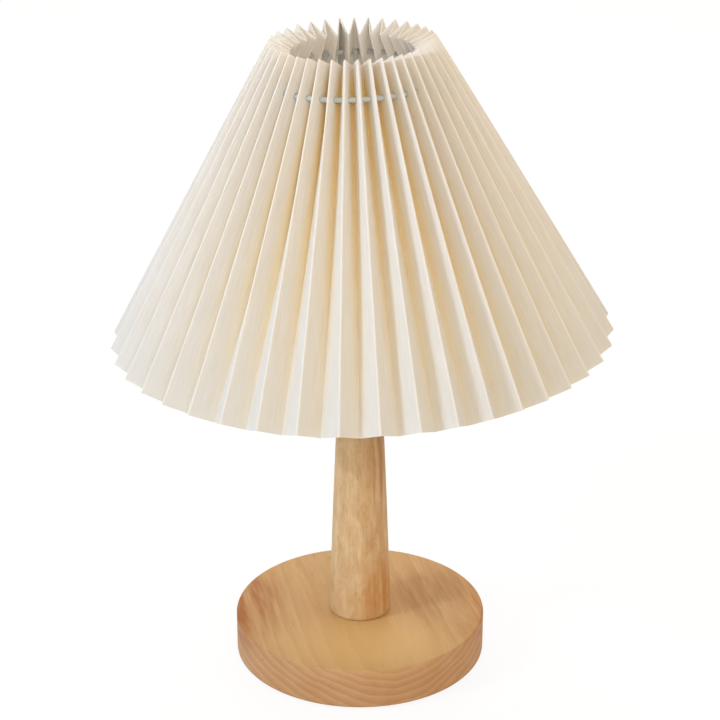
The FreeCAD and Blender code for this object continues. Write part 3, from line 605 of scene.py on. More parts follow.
@dataclass(frozen=True)
class PlatedMetal(Finish):
    """Rolled or drawn metal with a plated skin."""

    # To the eye: bright, slightly cloudy metal with fine drawing lines, drawn coarser than the real
    # ones of 0.05 mm so that they show.
    bright: str = "#C9C9C7"
    dull: str = "#A9AAAA"
    cloud: float = 6.0
    line_width: float = 0.5
    line_length: float = 12.5
    line_range: Span = (0.3, 0.7)
    metallic: float = 1.0
    roughness: float = 0.3
    gleam_spread: Span = (-0.08, 0.12)
    relief: float = 0.12
    relief_depth: float = 0.05

    def paint(self, tree: Tree) -> Values:
        """Cloud the plating and draw fine lines around the upright axis.

        Args:
            tree: node tree of the material.

        Returns:
            Feed of the shader's colour, roughness and relief.
        """
        place = add_node(tree, "TexCoord").outputs["Object"]
        clouds = add_node(tree, "TexNoise", {"Vector": place, "Scale": per_size(self.cloud),
                                             "Detail": 4.0})
        tone = add_node(tree, "Mix", {
            "Factor": clouds.outputs["Fac"], FIRST: linear(self.bright), SECOND: linear(self.dull),
        }, data_type="RGBA")
        around = self.line_width / self.line_length
        drawn = add_node(tree, "VectorMath", {0: place, 1: (around, around, 1.0)},
                         operation="MULTIPLY")
        lines = add_node(tree, "TexNoise", {
            "Vector": drawn.outputs[0], "Scale": per_size(self.line_width), "Detail": 2.0,
        }).outputs["Fac"]
        low, high = self.line_range
        sharp, soft = (self.roughness + change for change in self.gleam_spread)
        gleam = add_node(tree, "MapRange", {"Value": lines, "From Min": low, "From Max": high,
                                            "To Min": sharp, "To Max": soft})
        relief = add_node(tree, "Bump", {"Height": lines, "Strength": self.relief,
                                         "Distance": self.relief_depth * MM})
        return {"Base Color": tone.outputs[MIXED], "Roughness": gleam.outputs[0],
                "Normal": relief.outputs["Normal"]}


@dataclass(frozen=True)
class MouldedSkin(Finish):
    """Moulded plastic, rubber, fired ceramic or coated wire."""

    # To the eye: one even colour with a soft mottle, and a fine grain that breaks up the gloss; the
    # grain of 0.1 to 0.3 mm is drawn coarser so that it shows.
    colour: str = "#ECEAE4"
    shade: str = "#DEDBD3"
    mottle: float = 14.0
    mottle_range: Span = (0.35, 0.65)
    grit: float = 0.7
    grit_range: Span = (0.3, 0.7)
    gloss_spread: Span = (-0.05, 0.07)
    relief: float = 0.1
    relief_depth: float = 0.1
    glow: float = 0.0
    glow_depth: float = 4.0
    glow_hue: Spot = (1.0, 0.85, 0.7)

    def paint(self, tree: Tree) -> Values:
        """Mottle the colour and give the skin its moulded grain.

        Args:
            tree: node tree of the material.

        Returns:
            Feed of the shader's colour, roughness and relief, and how far light spreads inside.
        """
        place = add_node(tree, "TexCoord").outputs["Object"]
        mottle = add_node(tree, "TexNoise", {"Vector": place, "Scale": per_size(self.mottle),
                                             "Detail": 3.0})
        low, high = self.mottle_range
        spread = add_node(tree, "MapRange", {"Value": mottle.outputs["Fac"], "From Min": low,
                                             "From Max": high})
        tone = add_node(tree, "Mix", {
            "Factor": spread.outputs[0], FIRST: linear(self.colour), SECOND: linear(self.shade),
        }, data_type="RGBA")
        grit = add_node(tree, "TexNoise", {"Vector": place, "Scale": per_size(self.grit),
                                           "Detail": 2.0}).outputs["Fac"]
        fine, coarse = self.grit_range
        sharp, soft = (self.roughness + change for change in self.gloss_spread)
        gloss = add_node(tree, "MapRange", {"Value": grit, "From Min": fine, "From Max": coarse,
                                            "To Min": sharp, "To Max": soft})
        bump = add_node(tree, "Bump", {"Height": grit, "Strength": self.relief,
                                       "Distance": self.relief_depth * MM})
        return {"Base Color": tone.outputs[MIXED], "Roughness": gloss.outputs[0],
                "Normal": bump.outputs["Normal"], "Subsurface Weight": self.glow,
                "Subsurface Radius": self.glow_hue, "Subsurface Scale": self.glow_depth * MM}


@dataclass(frozen=True)
class PressedFelt(Finish):
    """Needled and pressed wool felt."""

    # To the eye: dark matted fibres in two tones with a soft nap; fibres of 0.03 mm are drawn
    # coarser so that they show.
    colour: str = "#4B463F"
    fibre: str = "#6A645B"
    fibre_size: float = 1.2
    fibre_range: Span = (0.38, 0.66)
    roughness: float = 0.95
    relief: float = 0.5
    relief_depth: float = 0.4
    nap: float = 0.3
    nap_roughness: float = 0.6

    def paint(self, tree: Tree) -> Values:
        """Mat the fibres over the ground colour.

        Args:
            tree: node tree of the material.

        Returns:
            Feed of the shader's colour and relief, and its nap.
        """
        place = add_node(tree, "TexCoord").outputs["Object"]
        warp = add_node(tree, "TexNoise", {
            "Vector": place, "Scale": per_size(self.fibre_size), "Detail": 6.0, "Roughness": 0.7,
            "Distortion": 1.5,
        }).outputs["Fac"]
        low, high = self.fibre_range
        spread = add_node(tree, "MapRange", {"Value": warp, "From Min": low, "From Max": high})
        tone = add_node(tree, "Mix", {
            "Factor": spread.outputs[0], FIRST: linear(self.colour), SECOND: linear(self.fibre),
        }, data_type="RGBA")
        bump = add_node(tree, "Bump", {"Height": warp, "Strength": self.relief,
                                       "Distance": self.relief_depth * MM})
        return {"Base Color": tone.outputs[MIXED], "Normal": bump.outputs["Normal"],
                "Sheen Weight": self.nap, "Sheen Roughness": self.nap_roughness}


def apply_modifier(piece: bpy.types.Object, modifier: bpy.types.Modifier) -> None:
    """Apply one modifier to a piece, with nothing else selected.

    Args:
        piece: object that has the modifier.
        modifier: the modifier.
    """
    bpy.ops.object.select_all(action="DESELECT")
    piece.select_set(True)
    bpy.context.view_layer.objects.active = piece
    bpy.ops.object.modifier_apply(modifier=modifier.name)


@dataclass
class SubAssembly:
    """CAD pieces that belong together, each with its finish."""

    def finishes(self) -> dict[str, Finish]:
        """Return the finish of each CAD piece by its node name."""
        raise NotImplementedError

    def dress(self, nodes: dict[str, bpy.types.Object]) -> None:
        """Give each CAD piece its finish.

        Args:
            nodes: CAD objects by node name.
        """
        for node, finish in self.finishes().items():
            mesh = nodes[node].data
            mesh.materials.clear()
            mesh.materials.append(finish.material())
            LOG.info("%s: %s in %s", type(self).__name__, node, finish.name)


@dataclass
class Stand(SubAssembly):
    """Turned wooden base and post on a threaded pipe, with a felt pad and the cord's grommet."""

    base_radius: float = 75.0
    base_top: float = 26.5
    post_foot: float = 18.5
    base_ring: float = 5.2
    post_ring: float = 6.5

    def base_wood(self) -> OiledWood:
        """Choose the base's wood.

        Returns:
            A board with its fibres front to back, reddish at its left rim, yellower in front as
            painted light, and darker on its right, partly from its streaks and partly as painted
            shade.
        """
        # Painted light: a brighter, yellower pool on the front of the top.
        front_painted_light = WoodZone("#EEC483", centre=(6.0, -44.0, self.base_top), reach=(60.0, 50.0, 16.0),
                     strength=0.6, streaked=False)
        rim_patch = WoodZone("#A9662F", centre=(-self.base_radius, 4.0, self.base_top),
                          reach=(40.0, 64.0, 30.0), strength=1.0)
        # Darker on the right of the top: the wood's own streaks, deepened as painted shade.
        right_patch = WoodZone("#B57338", centre=(self.base_radius, 0.0, self.base_top),
                            reach=(28.0, 54.0, 30.0), strength=0.85)
        streaks_and_painted_shade = WoodZone("#A56F3C", centre=(42.0, 16.0, self.base_top),
                             reach=(32.0, 52.0, 30.0), strength=0.6)
        return OiledWood("oiled_rubberwood_base", roughness=0.52, grain=Grain.LYING,
                         turn_deg=-13.0, pith=(4.0, 0.0, 98.0), ring_width=self.base_ring,
                         ring_strength=0.22, end_radius=self.base_radius,
                         wood_zones=(front_painted_light, rim_patch, right_patch, streaks_and_painted_shade))

    def post_wood(self) -> OiledWood:
        """Choose the post's wood.

        Returns:
            A paler piece with upright fibres, browner on its right, partly its figure and partly
            painted shade, and orange at its foot.
        """
        # Browner on the right: the wood's own figure, deepened as painted shade on the side away
        # from the light.
        brown_and_shaded_side = WoodZone("#AE7A48", centre=(self.post_foot - 5.0, -10.0, 150.0),
                           reach=(18.0, 30.0, 110.0), strength=0.8)
        orange_foot = WoodZone("#C07F3C", centre=(self.post_foot - 6.0, -12.0, 42.0),
                            reach=(17.0, 30.0, 46.0), strength=0.65)
        return OiledWood("oiled_rubberwood_post", roughness=0.5, grain=Grain.UPRIGHT,
                         pith=(-34.0, 30.0, 0.0), ring_width=self.post_ring, ring_strength=0.12,
                         pale="#E0C398", middle="#CBA271", late="#B98857", figure_width=5.5,
                         figure_length=13.0, pore_length=4.0, pore_share=0.18,
                         wood_zones=(brown_and_shaded_side, orange_foot))

    def finishes(self) -> dict[str, Finish]:
        """Choose the finish of each CAD piece.

        Returns:
            The finishes by node name.
        """
        # Barrel-plated zinc: cool grey, a little cloudy, with a dull gleam.
        zinc = PlatedMetal("zinc_plated_steel", roughness=0.36, bright="#C4C6C8", dull="#9FA3A7",
                           cloud=5.0)
        # Moulded rubber: matt grey, its gloss broken by a fine grit.
        rubber = MouldedSkin("moulded_grey_rubber", roughness=0.7, ior=1.52, colour="#B9B4AB",
                             shade="#A8A39A", grit=0.9, relief=0.25)
        fixings = ("stand_tube", "base_washer", "lock_washer", "base_nut", "neck_washer")
        return {"base_disc": self.base_wood(), "post": self.post_wood(), "cord_grommet": rubber,
                "base_pad": PressedFelt("pressed_wool_felt"), **dict.fromkeys(fixings, zinc)}


@dataclass
class Lampholder(SubAssembly):
    """Screw lampholder: moulded cap, sleeve and ring nut, ceramic core and brass contacts."""

    skin_grit: float = 0.6
    core_mottle: float = 5.0
    brass_cloud: float = 6.0
    screw_cloud: float = 3.0

    def finishes(self) -> dict[str, Finish]:
        """Choose the finish of each CAD piece.

        Returns:
            The finishes by node name.
        """
        # Moulded thermoset: off-white with half a gloss and hardly any grain.
        skin = MouldedSkin("moulded_white_thermoset", roughness=0.34, colour="#EDEBE4",
                           shade="#E3E0D8", grit=self.skin_grit, relief=0.06)
        # Fired steatite: unglazed, chalky cream with small pale clouds.
        core = MouldedSkin("fired_steatite", roughness=0.6, ior=1.55, colour="#E6DFCF",
                           shade="#D8CFBC", mottle=self.core_mottle, grit=0.4, relief=0.2)
        # Rolled brass: warm yellow and bright, with the faint lines of its rolling.
        brass = PlatedMetal("rolled_brass", roughness=0.28, bright="#D9B662", dull="#BF9A4C",
                            cloud=self.brass_cloud)
        # Bright zinc on a small turned screw: cool, clear silver.
        screw = PlatedMetal("bright_zinc_steel", roughness=0.32, bright="#C9CBCD", dull="#A6AAAE",
                            cloud=self.screw_cloud)
        outside = ("holder_cap", "holder_shell", "shade_ring_nut")
        contacts = ("screw_shell", "centre_contact", "terminal_screws")
        return {**dict.fromkeys(outside, skin), "cap_grub_screw": screw, "holder_insert": core,
                **dict.fromkeys(contacts, brass)}


@dataclass
class ScrewLamp(SubAssembly):
    """Screw-in lamp: plated cap, black insulator, moulded housing, board and opal globe."""

    globe_mottle: float = 22.0
    cap_cloud: float = 8.0
    board_mottle: float = 8.0
    glass_mottle: float = 4.0

    def finishes(self) -> dict[str, Finish]:
        """Choose the finish of each CAD piece.

        Returns:
            The finishes by node name.
        """
        # Nickel plate: warm silver, nearly a mirror.
        nickel = PlatedMetal("nickel_plated_brass", roughness=0.2, bright="#D3D0C9",
                             dull="#BEB9AF", cloud=self.cap_cloud)
        # Pressed black glass: deep black with a sharp gloss.
        glass = MouldedSkin("black_glass_insulator", roughness=0.12, ior=1.52, colour="#121214",
                            shade="#1C1B1D", mottle=self.glass_mottle, relief=0.03)
        # Moulded polycarbonate: clean white with a soft gloss.
        housing = MouldedSkin("moulded_white_polycarbonate", roughness=0.28, colour="#F0EFEB",
                              shade="#E6E4DE", grit=0.5, relief=0.04)
        # Printed solder mask: even white with a faint orange peel.
        board = MouldedSkin("white_solder_mask", roughness=0.4, colour="#E9E9E3", shade="#DCDDD6",
                            mottle=self.board_mottle, grit=0.5, relief=0.08)
        # Blown opal plastic: milky white that takes light into its skin.
        opal = MouldedSkin("opal_diffuser", roughness=0.24, colour="#F5F2EA", shade="#EFEBE1",
                           mottle=self.globe_mottle, relief=0.02, glow=0.3)
        return {"bulb_tip": nickel, "bulb_cap": nickel, "bulb_insulator": glass,
                "bulb_housing": housing, "led_board": board, "bulb_globe": opal}


@dataclass
class PleatedSheet:
    """One strip of stiff paper, folded in equal panels, spread into a leaning cone on a ring."""

    top_radius: float = 46.3
    rim_radius: float = 144.1
    top_height: float = 380.55
    fall: float = 172.1
    lean_deg: float = 1.79
    lean_height: float = 244.25
    thickness: float = 0.4
    pleats: int = 38
    gather: float = 22.8
    gather_side_deg: float = 13.2
    sway: float = 3.4
    sways: int = 3
    sway_side_deg: float = 28.4
    phase_deg: float = 1.3
    rim_fold_depth: float = 2.0
    ring_slant: float = 20.0
    ring_depth: float = 7.5
    hole_radius: float = 1.75
    hole_steps: tuple[int, int] = (360, 20)
    fold_radius: float = 0.34
    fold_steps: int = 4
    fold_share: float = 0.04
    panel_steps: int = 5
    slant_steps: int = 40
    stray_deg: float = 0.14
    stray_at_top: float = 0.3
    outer_play: float = 0.25
    inner_play: float = 0.3
    bow: float = 0.3
    bow_range: Span = (-0.4, 1.0)
    bow_margin: float = 0.08
    lap_panel: int = 39
    lap_inset: float = 0.13
    lap_gap: float = 0.06
    smooth_deg: float = 40.0
    seed: int = 7
    slant: float = field(init=False)
    outward: float = field(init=False)
    downward: float = field(init=False)
    ridges: list[float] = field(init=False)
    halves: list[float] = field(init=False)
    panel: float = field(init=False)
    length: float = field(init=False)

    def __post_init__(self) -> None:
        """Work out the slope, the fold angles, the width of a panel and the strip's length."""
        self.slant = math.hypot(self.rim_radius - self.top_radius, self.fall)
        self.outward = (self.rim_radius - self.top_radius) / self.slant
        self.downward = self.fall / self.slant
        self.ridges = [self.ridge_angle(index) for index in range(self.pleats + 1)]
        self.halves = [(after - before) / 2 for before, after in zip(self.ridges, self.ridges[1:])]
        self.panel = math.hypot(self.rim_radius * math.sin(max(self.halves)), self.rim_fold_depth)
        self.length = (2 * self.pleats + 1) * self.panel

    def ridge_angle(self, index: int) -> float:
        """Place an outer fold around the cone, gathered to one side and swaying a little.

        Args:
            index: number of the pleat, counted from the front.

        Returns:
            The fold's angle from the front towards +X, in radians.
        """
        even = 2 * math.pi * index / self.pleats + math.radians(self.phase_deg)
        gather = self.gather * math.sin(even - math.radians(self.gather_side_deg))
        sway = self.sway * math.sin(self.sways * even + math.radians(self.sway_side_deg))
        return even + (sway - gather) / self.rim_radius

    def ridge_near(self, angle: float) -> float:
        """Return the angle of the outer fold nearest to a given angle."""
        return min(self.ridges, key=lambda ridge: abs(math.remainder(ridge - angle, 2 * math.pi)))

    def lean(self) -> Matrix:
        """Return the small turn that the shade sits at, in metres."""
        pivot = Matrix.Translation((0, 0, self.lean_height * MM))
        return pivot @ Matrix.Rotation(math.radians(-self.lean_deg), 4, "Y") @ pivot.inverted()

    def on_slope(self, slant: np.ndarray, depth: np.ndarray) -> tuple[np.ndarray, np.ndarray]:
        """Find places on the cone's slope.

        Args:
            slant: distance down the slope from the top.
            depth: distance in from the outer folds, square to the slope.

        Returns:
            Radius and height.
        """
        radius = self.top_radius + slant * self.outward - depth * self.downward
        height = self.top_height - slant * self.downward - depth * self.outward
        return radius, height

    def around(self, angle: np.ndarray, slant: np.ndarray, depth: np.ndarray) -> np.ndarray:
        """Return points of the upright cone at an angle from the front towards +X."""
        radius, height = self.on_slope(slant, depth)
        return np.stack([radius * np.sin(angle), -radius * np.cos(angle), height], axis=-1)

    def half_width(self, half: float, slant: np.ndarray) -> np.ndarray:
        """Return half the width of a pleat at each slant."""
        return (self.top_radius + slant * self.outward) * math.sin(half)

    def fold_depth(self, half: float, slant: np.ndarray) -> np.ndarray:
        """Work out how deep an inner fold lies, straight from its top to its rim.

        Args:
            half: half the angle of the pleat.
            slant: stations down the slope.

        Returns:
            The depth at each station.
        """
        ends = np.array([0.0, self.slant])
        deep = np.sqrt(self.panel ** 2 - self.half_width(half, ends) ** 2)
        return deep[0] + (deep[1] - deep[0]) * slant / self.slant

    def fold_lines(self, slant: np.ndarray) -> list[np.ndarray]:
        """Place the sharp corners of the sheet's middle layer, each a little astray.

        Args:
            slant: stations down the slope.

        Returns:
            Outer and inner fold lines in turn, each with a point per station.
        """
        pick = random.Random(self.seed)
        folds = []
        loose = self.stray_at_top + (1 - self.stray_at_top) * slant / self.slant
        for ridge, half in zip(self.ridges, self.halves):
            width = self.half_width(half, slant)
            tip = self.fold_radius * (self.panel / width - 1)
            stray = math.radians(pick.uniform(-self.stray_deg, self.stray_deg)) * loose
            sink = self.thickness / 2 - tip + pick.uniform(0.0, self.outer_play)
            folds.append(self.around(ridge + stray, slant, sink))
            gap = self.thickness * self.panel / width
            deep = self.fold_depth(half, slant) + gap / 2 + tip
            deep = deep - pick.uniform(0.0, self.inner_play)
            folds.append(self.around(ridge + half + stray / 2, slant, deep))
        return folds

    def rounded(self, before: np.ndarray, corner: np.ndarray,
                after: np.ndarray) -> list[np.ndarray]:
        """Round a fold line to the paper's fold radius.

        Args:
            before: fold line on one side.
            corner: sharp fold line.
            after: fold line on the other side.

        Returns:
            The lines of points around the fold.
        """
        first = before - corner
        first = first / np.linalg.norm(first, axis=1, keepdims=True)
        last = after - corner
        last = last / np.linalg.norm(last, axis=1, keepdims=True)
        half = np.arccos(np.clip((first * last).sum(axis=1, keepdims=True), -1, 1)) / 2
        middle = first + last
        middle = middle / np.linalg.norm(middle, axis=1, keepdims=True)
        centre = corner + middle * self.fold_radius / np.sin(half)
        start = corner + first * self.fold_radius / np.tan(half) - centre
        end = corner + last * self.fold_radius / np.tan(half) - centre
        sweep = math.pi - 2 * half
        lines = []
        for step in range(self.fold_steps + 1):
            share = step / self.fold_steps
            arm = start * np.sin((1 - share) * sweep) + end * np.sin(share * sweep)
            lines.append(centre + arm / np.sin(sweep))
        return lines

    def outward_of(self, start: np.ndarray, run: np.ndarray) -> np.ndarray:
        """Find which way is out of a panel.

        Args:
            start: line along one side of the panel.
            run: way from that line across the panel.

        Returns:
            Unit directions square to the panel, away from the axis.
        """
        out = np.cross(np.gradient(start, axis=0), run)
        out = out / np.linalg.norm(out, axis=1, keepdims=True)
        return out * np.where((out * start * (1, 1, 0)).sum(axis=1, keepdims=True) < 0, -1, 1)

    def panel_lines(self, start: np.ndarray, end: np.ndarray, swell: float,
                    down: np.ndarray) -> list[np.ndarray]:
        """Fill a panel between two folds, slightly bowed.

        Args:
            start: line where the first fold ends.
            end: line where the next fold starts.
            swell: height of the bow.
            down: share of the slant at each station.

        Returns:
            The lines of points inside the panel.
        """
        run = end - start
        out = self.outward_of(start, run)
        along = np.sin(math.pi * (self.bow_margin + (1 - 2 * self.bow_margin) * down))
        lines = []
        for step in range(1, self.panel_steps):
            share = step / self.panel_steps
            rise = swell * math.sin(math.pi * share) * along
            lines.append(start + run * share + out * rise[:, None])
        return lines

    def lap(self, panel: list[np.ndarray]) -> list[np.ndarray]:
        """Lay the strip's last panel inside its first, narrower by the inset on both sides.

        Args:
            panel: lines of the panel that it is glued to, from fold to fold.

        Returns:
            The lines of the lap.
        """
        start, end = panel[0], panel[-1]
        inward = self.outward_of(start, end - start) * -(self.thickness + self.lap_gap)
        inset = self.lap_inset * self.panel_steps
        near = start + (panel[1] - start) * inset
        far = end + (panel[-2] - end) * inset
        return [line + inward for line in (near, *panel[2:-2], far)]

    def columns(self) -> tuple[np.ndarray, list[float], np.ndarray]:
        """Lay out the folded strip and the glued lap that closes it at the back.

        Returns:
            Points as columns around the cone by stations down the slope, each column's place from
            0 on an outer fold to 1 on an inner fold, and the columns of the lap.
        """
        down = np.linspace(0.0, 1.0, self.slant_steps + 1)
        folds = self.fold_lines(down * self.slant)
        pick = random.Random(self.seed + 1)
        edge = self.fold_share
        spots = [edge * abs(2 * step / self.fold_steps - 1) for step in range(self.fold_steps + 1)]
        spots += [edge + (1 - 2 * edge) * step / self.panel_steps
                  for step in range(1, self.panel_steps)]
        lines: list[np.ndarray] = []
        places: list[float] = []
        lap: list[np.ndarray] = []
        arcs = [self.rounded(folds[index - 1], fold, folds[(index + 1) % len(folds)])
                for index, fold in enumerate(folds)]
        for index, arc in enumerate(arcs):
            after = arcs[(index + 1) % len(arcs)]
            swell = self.bow * pick.uniform(*self.bow_range)
            flat = self.panel_lines(arc[-1], after[0], swell, down)
            lines += arc + flat
            places += spots if index % 2 == 0 else [1 - spot for spot in spots]
            if index == self.lap_panel:
                lap = self.lap([arc[-1], *flat, after[0]])
        return np.stack(lines), places, np.stack(lap)

    def mesh(self) -> bpy.types.Object:
        """Build the strip's middle layer with its two maps.

        Returns:
            The sheet as an object without thickness, in place.
        """
        lines, places, lap = self.columns()
        count, stations = lines.shape[:2]
        everything = np.concatenate([lines, lap])
        lean = np.array(self.lean())
        points = everything.reshape(-1, 3) * MM @ lean[:3, :3].T + lean[:3, 3]
        ring = [(column, (column + 1) % count) for column in range(count)]
        flap = [(count + column, count + column + 1) for column in range(len(lap) - 1)]
        widths = [float(np.linalg.norm(everything[right] - everything[left], axis=1).mean())
                  for left, right in ring + flap]
        reach = np.concatenate([[0.0], np.cumsum(widths)]) / sum(widths)
        places = places + [0.5] * len(lap)
        faces, strip, folds = [], [], []
        for step, (left, right) in enumerate(ring + flap):
            here, there = reach[step], reach[step + 1]
            for row in range(stations - 1):
                faces.append((left * stations + row, left * stations + row + 1,
                              right * stations + row + 1, right * stations + row))
                top, low = 1 - row / (stations - 1), 1 - (row + 1) / (stations - 1)
                strip += [(here, top), (here, low), (there, low), (there, top)]
                folds += [(places[left], top), (places[left], low), (places[right], low),
                          (places[right], top)]
        data = bpy.data.meshes.new("pleated_sheet_folds")
        data.from_pydata([tuple(point) for point in points], [], faces)
        for name, corners in (("strip", strip), ("folds", folds)):
            layer = data.uv_layers.new(name=name)
            layer.data.foreach_set("uv", [value for corner in corners for value in corner])
        data.update()
        piece = bpy.data.objects.new("pleated_sheet_folds", data)
        bpy.context.scene.collection.objects.link(piece)
        return piece

    def thicken(self, piece: bpy.types.Object) -> None:
        """Give the sheet its thickness, with the lining on its inner side.

        Args:
            piece: the sheet as its middle layer.
        """
        paper = PleatedPaper("pleated_paper_laminate", roughness=0.72, ior=1.45,
                             strip_length=self.length, strip_width=self.slant)
        # The laminate's uncoated side: whiter, partly its own colour and partly painted light on the
        # inside of the shade, without the painted shade in the folds, and aglow with the light that
        # comes through from outside.
        lining = replace(paper, name="pleated_paper_lining", sheet="#FFF8EF", fold_shade_at_rim=0.0,
                         fold_shade_at_top=0.0, see_through=2.5)
        piece.data.materials.append(paper.material())
        piece.data.materials.append(lining.material())
        wall = piece.modifiers.new("paper", "SOLIDIFY")
        wall.thickness = self.thickness * MM
        wall.offset = 0.0
        wall.use_even_offset = True
        wall.material_offset = 1
        apply_modifier(piece, wall)

    def punch(self, piece: bpy.types.Object) -> None:
        """Punch the holes that the ring wire threads.

        Args:
            piece: the sheet, with its thickness.
        """
        radius, height = self.on_slope(np.array(self.ring_slant), np.array(self.ring_depth))
        around, across = self.hole_steps
        bpy.ops.object.select_all(action="DESELECT")
        bpy.ops.mesh.primitive_torus_add(
            major_radius=float(radius) * MM, minor_radius=self.hole_radius * MM,
            major_segments=around, minor_segments=across, location=(0, 0, 0))
        punch = bpy.context.object
        punch.data.transform(self.lean() @ Matrix.Translation((0, 0, float(height) * MM)))
        cut = piece.modifiers.new("holes", "BOOLEAN")
        cut.operation = "DIFFERENCE"
        cut.solver = "EXACT"
        cut.object = punch
        apply_modifier(piece, cut)
        bpy.data.objects.remove(punch)

    def build(self) -> bpy.types.Object:
        """Make the sheet in place of its plain solid and hang it on the shade.

        Returns:
            The finished sheet.
        """
        piece = self.mesh()
        self.thicken(piece)
        self.punch(piece)
        bpy.ops.object.shade_smooth_by_angle(angle=math.radians(self.smooth_deg))
        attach(piece, Body.SHADE.value)
        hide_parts("pleated_sheet")
        LOG.info("PleatedSheet: %s, %d faces, strip %.0f by %.0f mm", piece.name,
                 len(piece.data.polygons), self.length, self.slant)
        return piece


@dataclass
class WireFrame(SubAssembly):
    """Coated wire frame of the shade: three rings, three arms and six ribs, welded together."""

    # Rings, the fitter and the arms' knees are given by radius and height.
    sheet: PleatedSheet
    wire: float = 1.5
    top_ring: Span = (49.66, 359.46)
    rim_ring: Span = (125.37, 213.92)
    fitter: Span = (22.5, 244.25)
    arm_knee: Span = (34.0, 244.25)
    arms: int = 3
    first_arm: float = 0.5
    ribs: int = 6
    first_rib: float = 0.25
    bead_width: float = 2.7
    bead_height: float = 1.7
    bead_steps: tuple[int, int] = (12, 8)
    lumps: float = 0.07
    lump_seed: int = 3

    def coat(self) -> MouldedSkin:
        """Return the frame's powder coat: pale grey and half matt, with a fine orange peel."""
        return MouldedSkin("powder_coated_wire", roughness=0.38, colour="#C6C9CA",
                           shade="#BCC0C2", mottle=7.0, grit=0.8, relief=0.16)

    def finishes(self) -> dict[str, Finish]:
        """Return the finish of each CAD piece by its node name."""
        wires = ("fitter_ring", "spider_arms", "top_ring", "bottom_ring", "frame_ribs")
        return dict.fromkeys(wires, self.coat())

    def welds(self) -> list[tuple[float, Span, Vector]]:
        """Work out where the wires touch.

        Returns:
            For each weld its angle from the front, its radius and height, and the way across it.
        """
        top, rim, knee = Vector(self.top_ring), Vector(self.rim_ring), Vector(self.arm_knee)
        slope, rise = (rim - top).normalized(), (top - knee).normalized()
        under, inside = Vector((slope.y, -slope.x)), Vector((-rise.y, rise.x))
        spots = []
        for index in range(self.ribs):
            angle = self.sheet.ridge_near(2 * math.pi * (index + self.first_rib) / self.ribs)
            spots.append((angle, tuple(top + under * self.wire), under))
            spots.append((angle, tuple(rim - under * self.wire), under))
        for index in range(self.arms):
            angle = self.sheet.ridge_near(2 * math.pi * (index + self.first_arm) / self.arms)
            spots.append((angle, tuple(top + inside * self.wire), inside))
            fitted = (self.fitter[0] + self.wire, self.fitter[1])
            spots.append((angle, fitted, Vector((1.0, 0.0))))
        return spots

    def bead(self) -> bpy.types.Object:
        """Model one weld bead at the origin, flat across Z.

        Returns:
            The bead.
        """
        around, upward = self.bead_steps
        bpy.ops.object.select_all(action="DESELECT")
        bpy.ops.mesh.primitive_uv_sphere_add(segments=around, ring_count=upward,
                                             radius=self.bead_width / 2 * MM, location=(0, 0, 0))
        piece = bpy.context.object
        bpy.ops.object.mode_set(mode="EDIT")
        bpy.ops.mesh.select_all(action="SELECT")
        bpy.ops.transform.resize(value=(1.0, 1.0, self.bead_height / self.bead_width))
        bpy.ops.transform.vertex_random(offset=self.lumps * MM, uniform=0.6, normal=0.4,
                                        seed=self.lump_seed)
        bpy.ops.object.mode_set(mode="OBJECT")
        smooth = piece.modifiers.new("flow", "SUBSURF")
        smooth.levels = smooth.render_levels = 1
        apply_modifier(piece, smooth)
        return piece

    def build(self) -> bpy.types.Object:
        """Set a bead at each weld and join them to one piece on the shade.

        Returns:
            The welds.
        """
        model = self.bead()
        beads = []
        for angle, (radius, height), across in self.welds():
            bead = model.copy()
            bead.data = model.data.copy()
            bpy.context.scene.collection.objects.link(bead)
            face = Vector((across.x * math.sin(angle), -across.x * math.cos(angle), across.y))
            spot = Vector((radius * math.sin(angle), -radius * math.cos(angle), height)) * MM
            turn = face.to_track_quat("Z", "Y").to_matrix().to_4x4()
            # The fitter ring sits level on the lampholder, and the rest leans with the sheet.
            level = radius < self.arm_knee[0]
            lean = Matrix.Identity(4) if level else self.sheet.lean()
            bead.data.transform(lean @ Matrix.Translation(spot) @ turn)
            beads.append(bead)
        bpy.data.objects.remove(model)
        bpy.ops.object.select_all(action="DESELECT")
        for bead in beads:
            bead.select_set(True)
        bpy.context.view_layer.objects.active = beads[0]
        bpy.ops.object.join()
        piece = bpy.context.object
        piece.name = piece.data.name = "weld_beads"
        bpy.ops.object.shade_smooth()
        piece.data.materials.clear()
        piece.data.materials.append(self.coat().material())
        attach(piece, Body.SHADE.value)
        LOG.info("WireFrame: %s, %d beads", piece.name, len(beads))
        return piece


@dataclass(frozen=True)
class SoftBox:
    """A round soft light, by its place and width in metres and its power in watts."""

    name: str
    place: Spot
    width: float
    power: float
    colour: str

    def hang(self, aim: Spot) -> bpy.types.Object:
        """Hang the light, turned to a point.

        Args:
            aim: the point that it faces.

        Returns:
            The light.
        """
        lamp = bpy.data.lights.new(self.name, "AREA")
        lamp.shape = "DISK"
        lamp.size = self.width
        lamp.energy = self.power
        lamp.color = linear(self.colour)[:3]
        light = bpy.data.objects.new(self.name, lamp)
        light.location = self.place
        way = Vector(aim) - Vector(self.place)
        light.rotation_euler = way.to_track_quat("-Z", "Y").to_euler()
        bpy.context.scene.collection.objects.link(light)
        return light


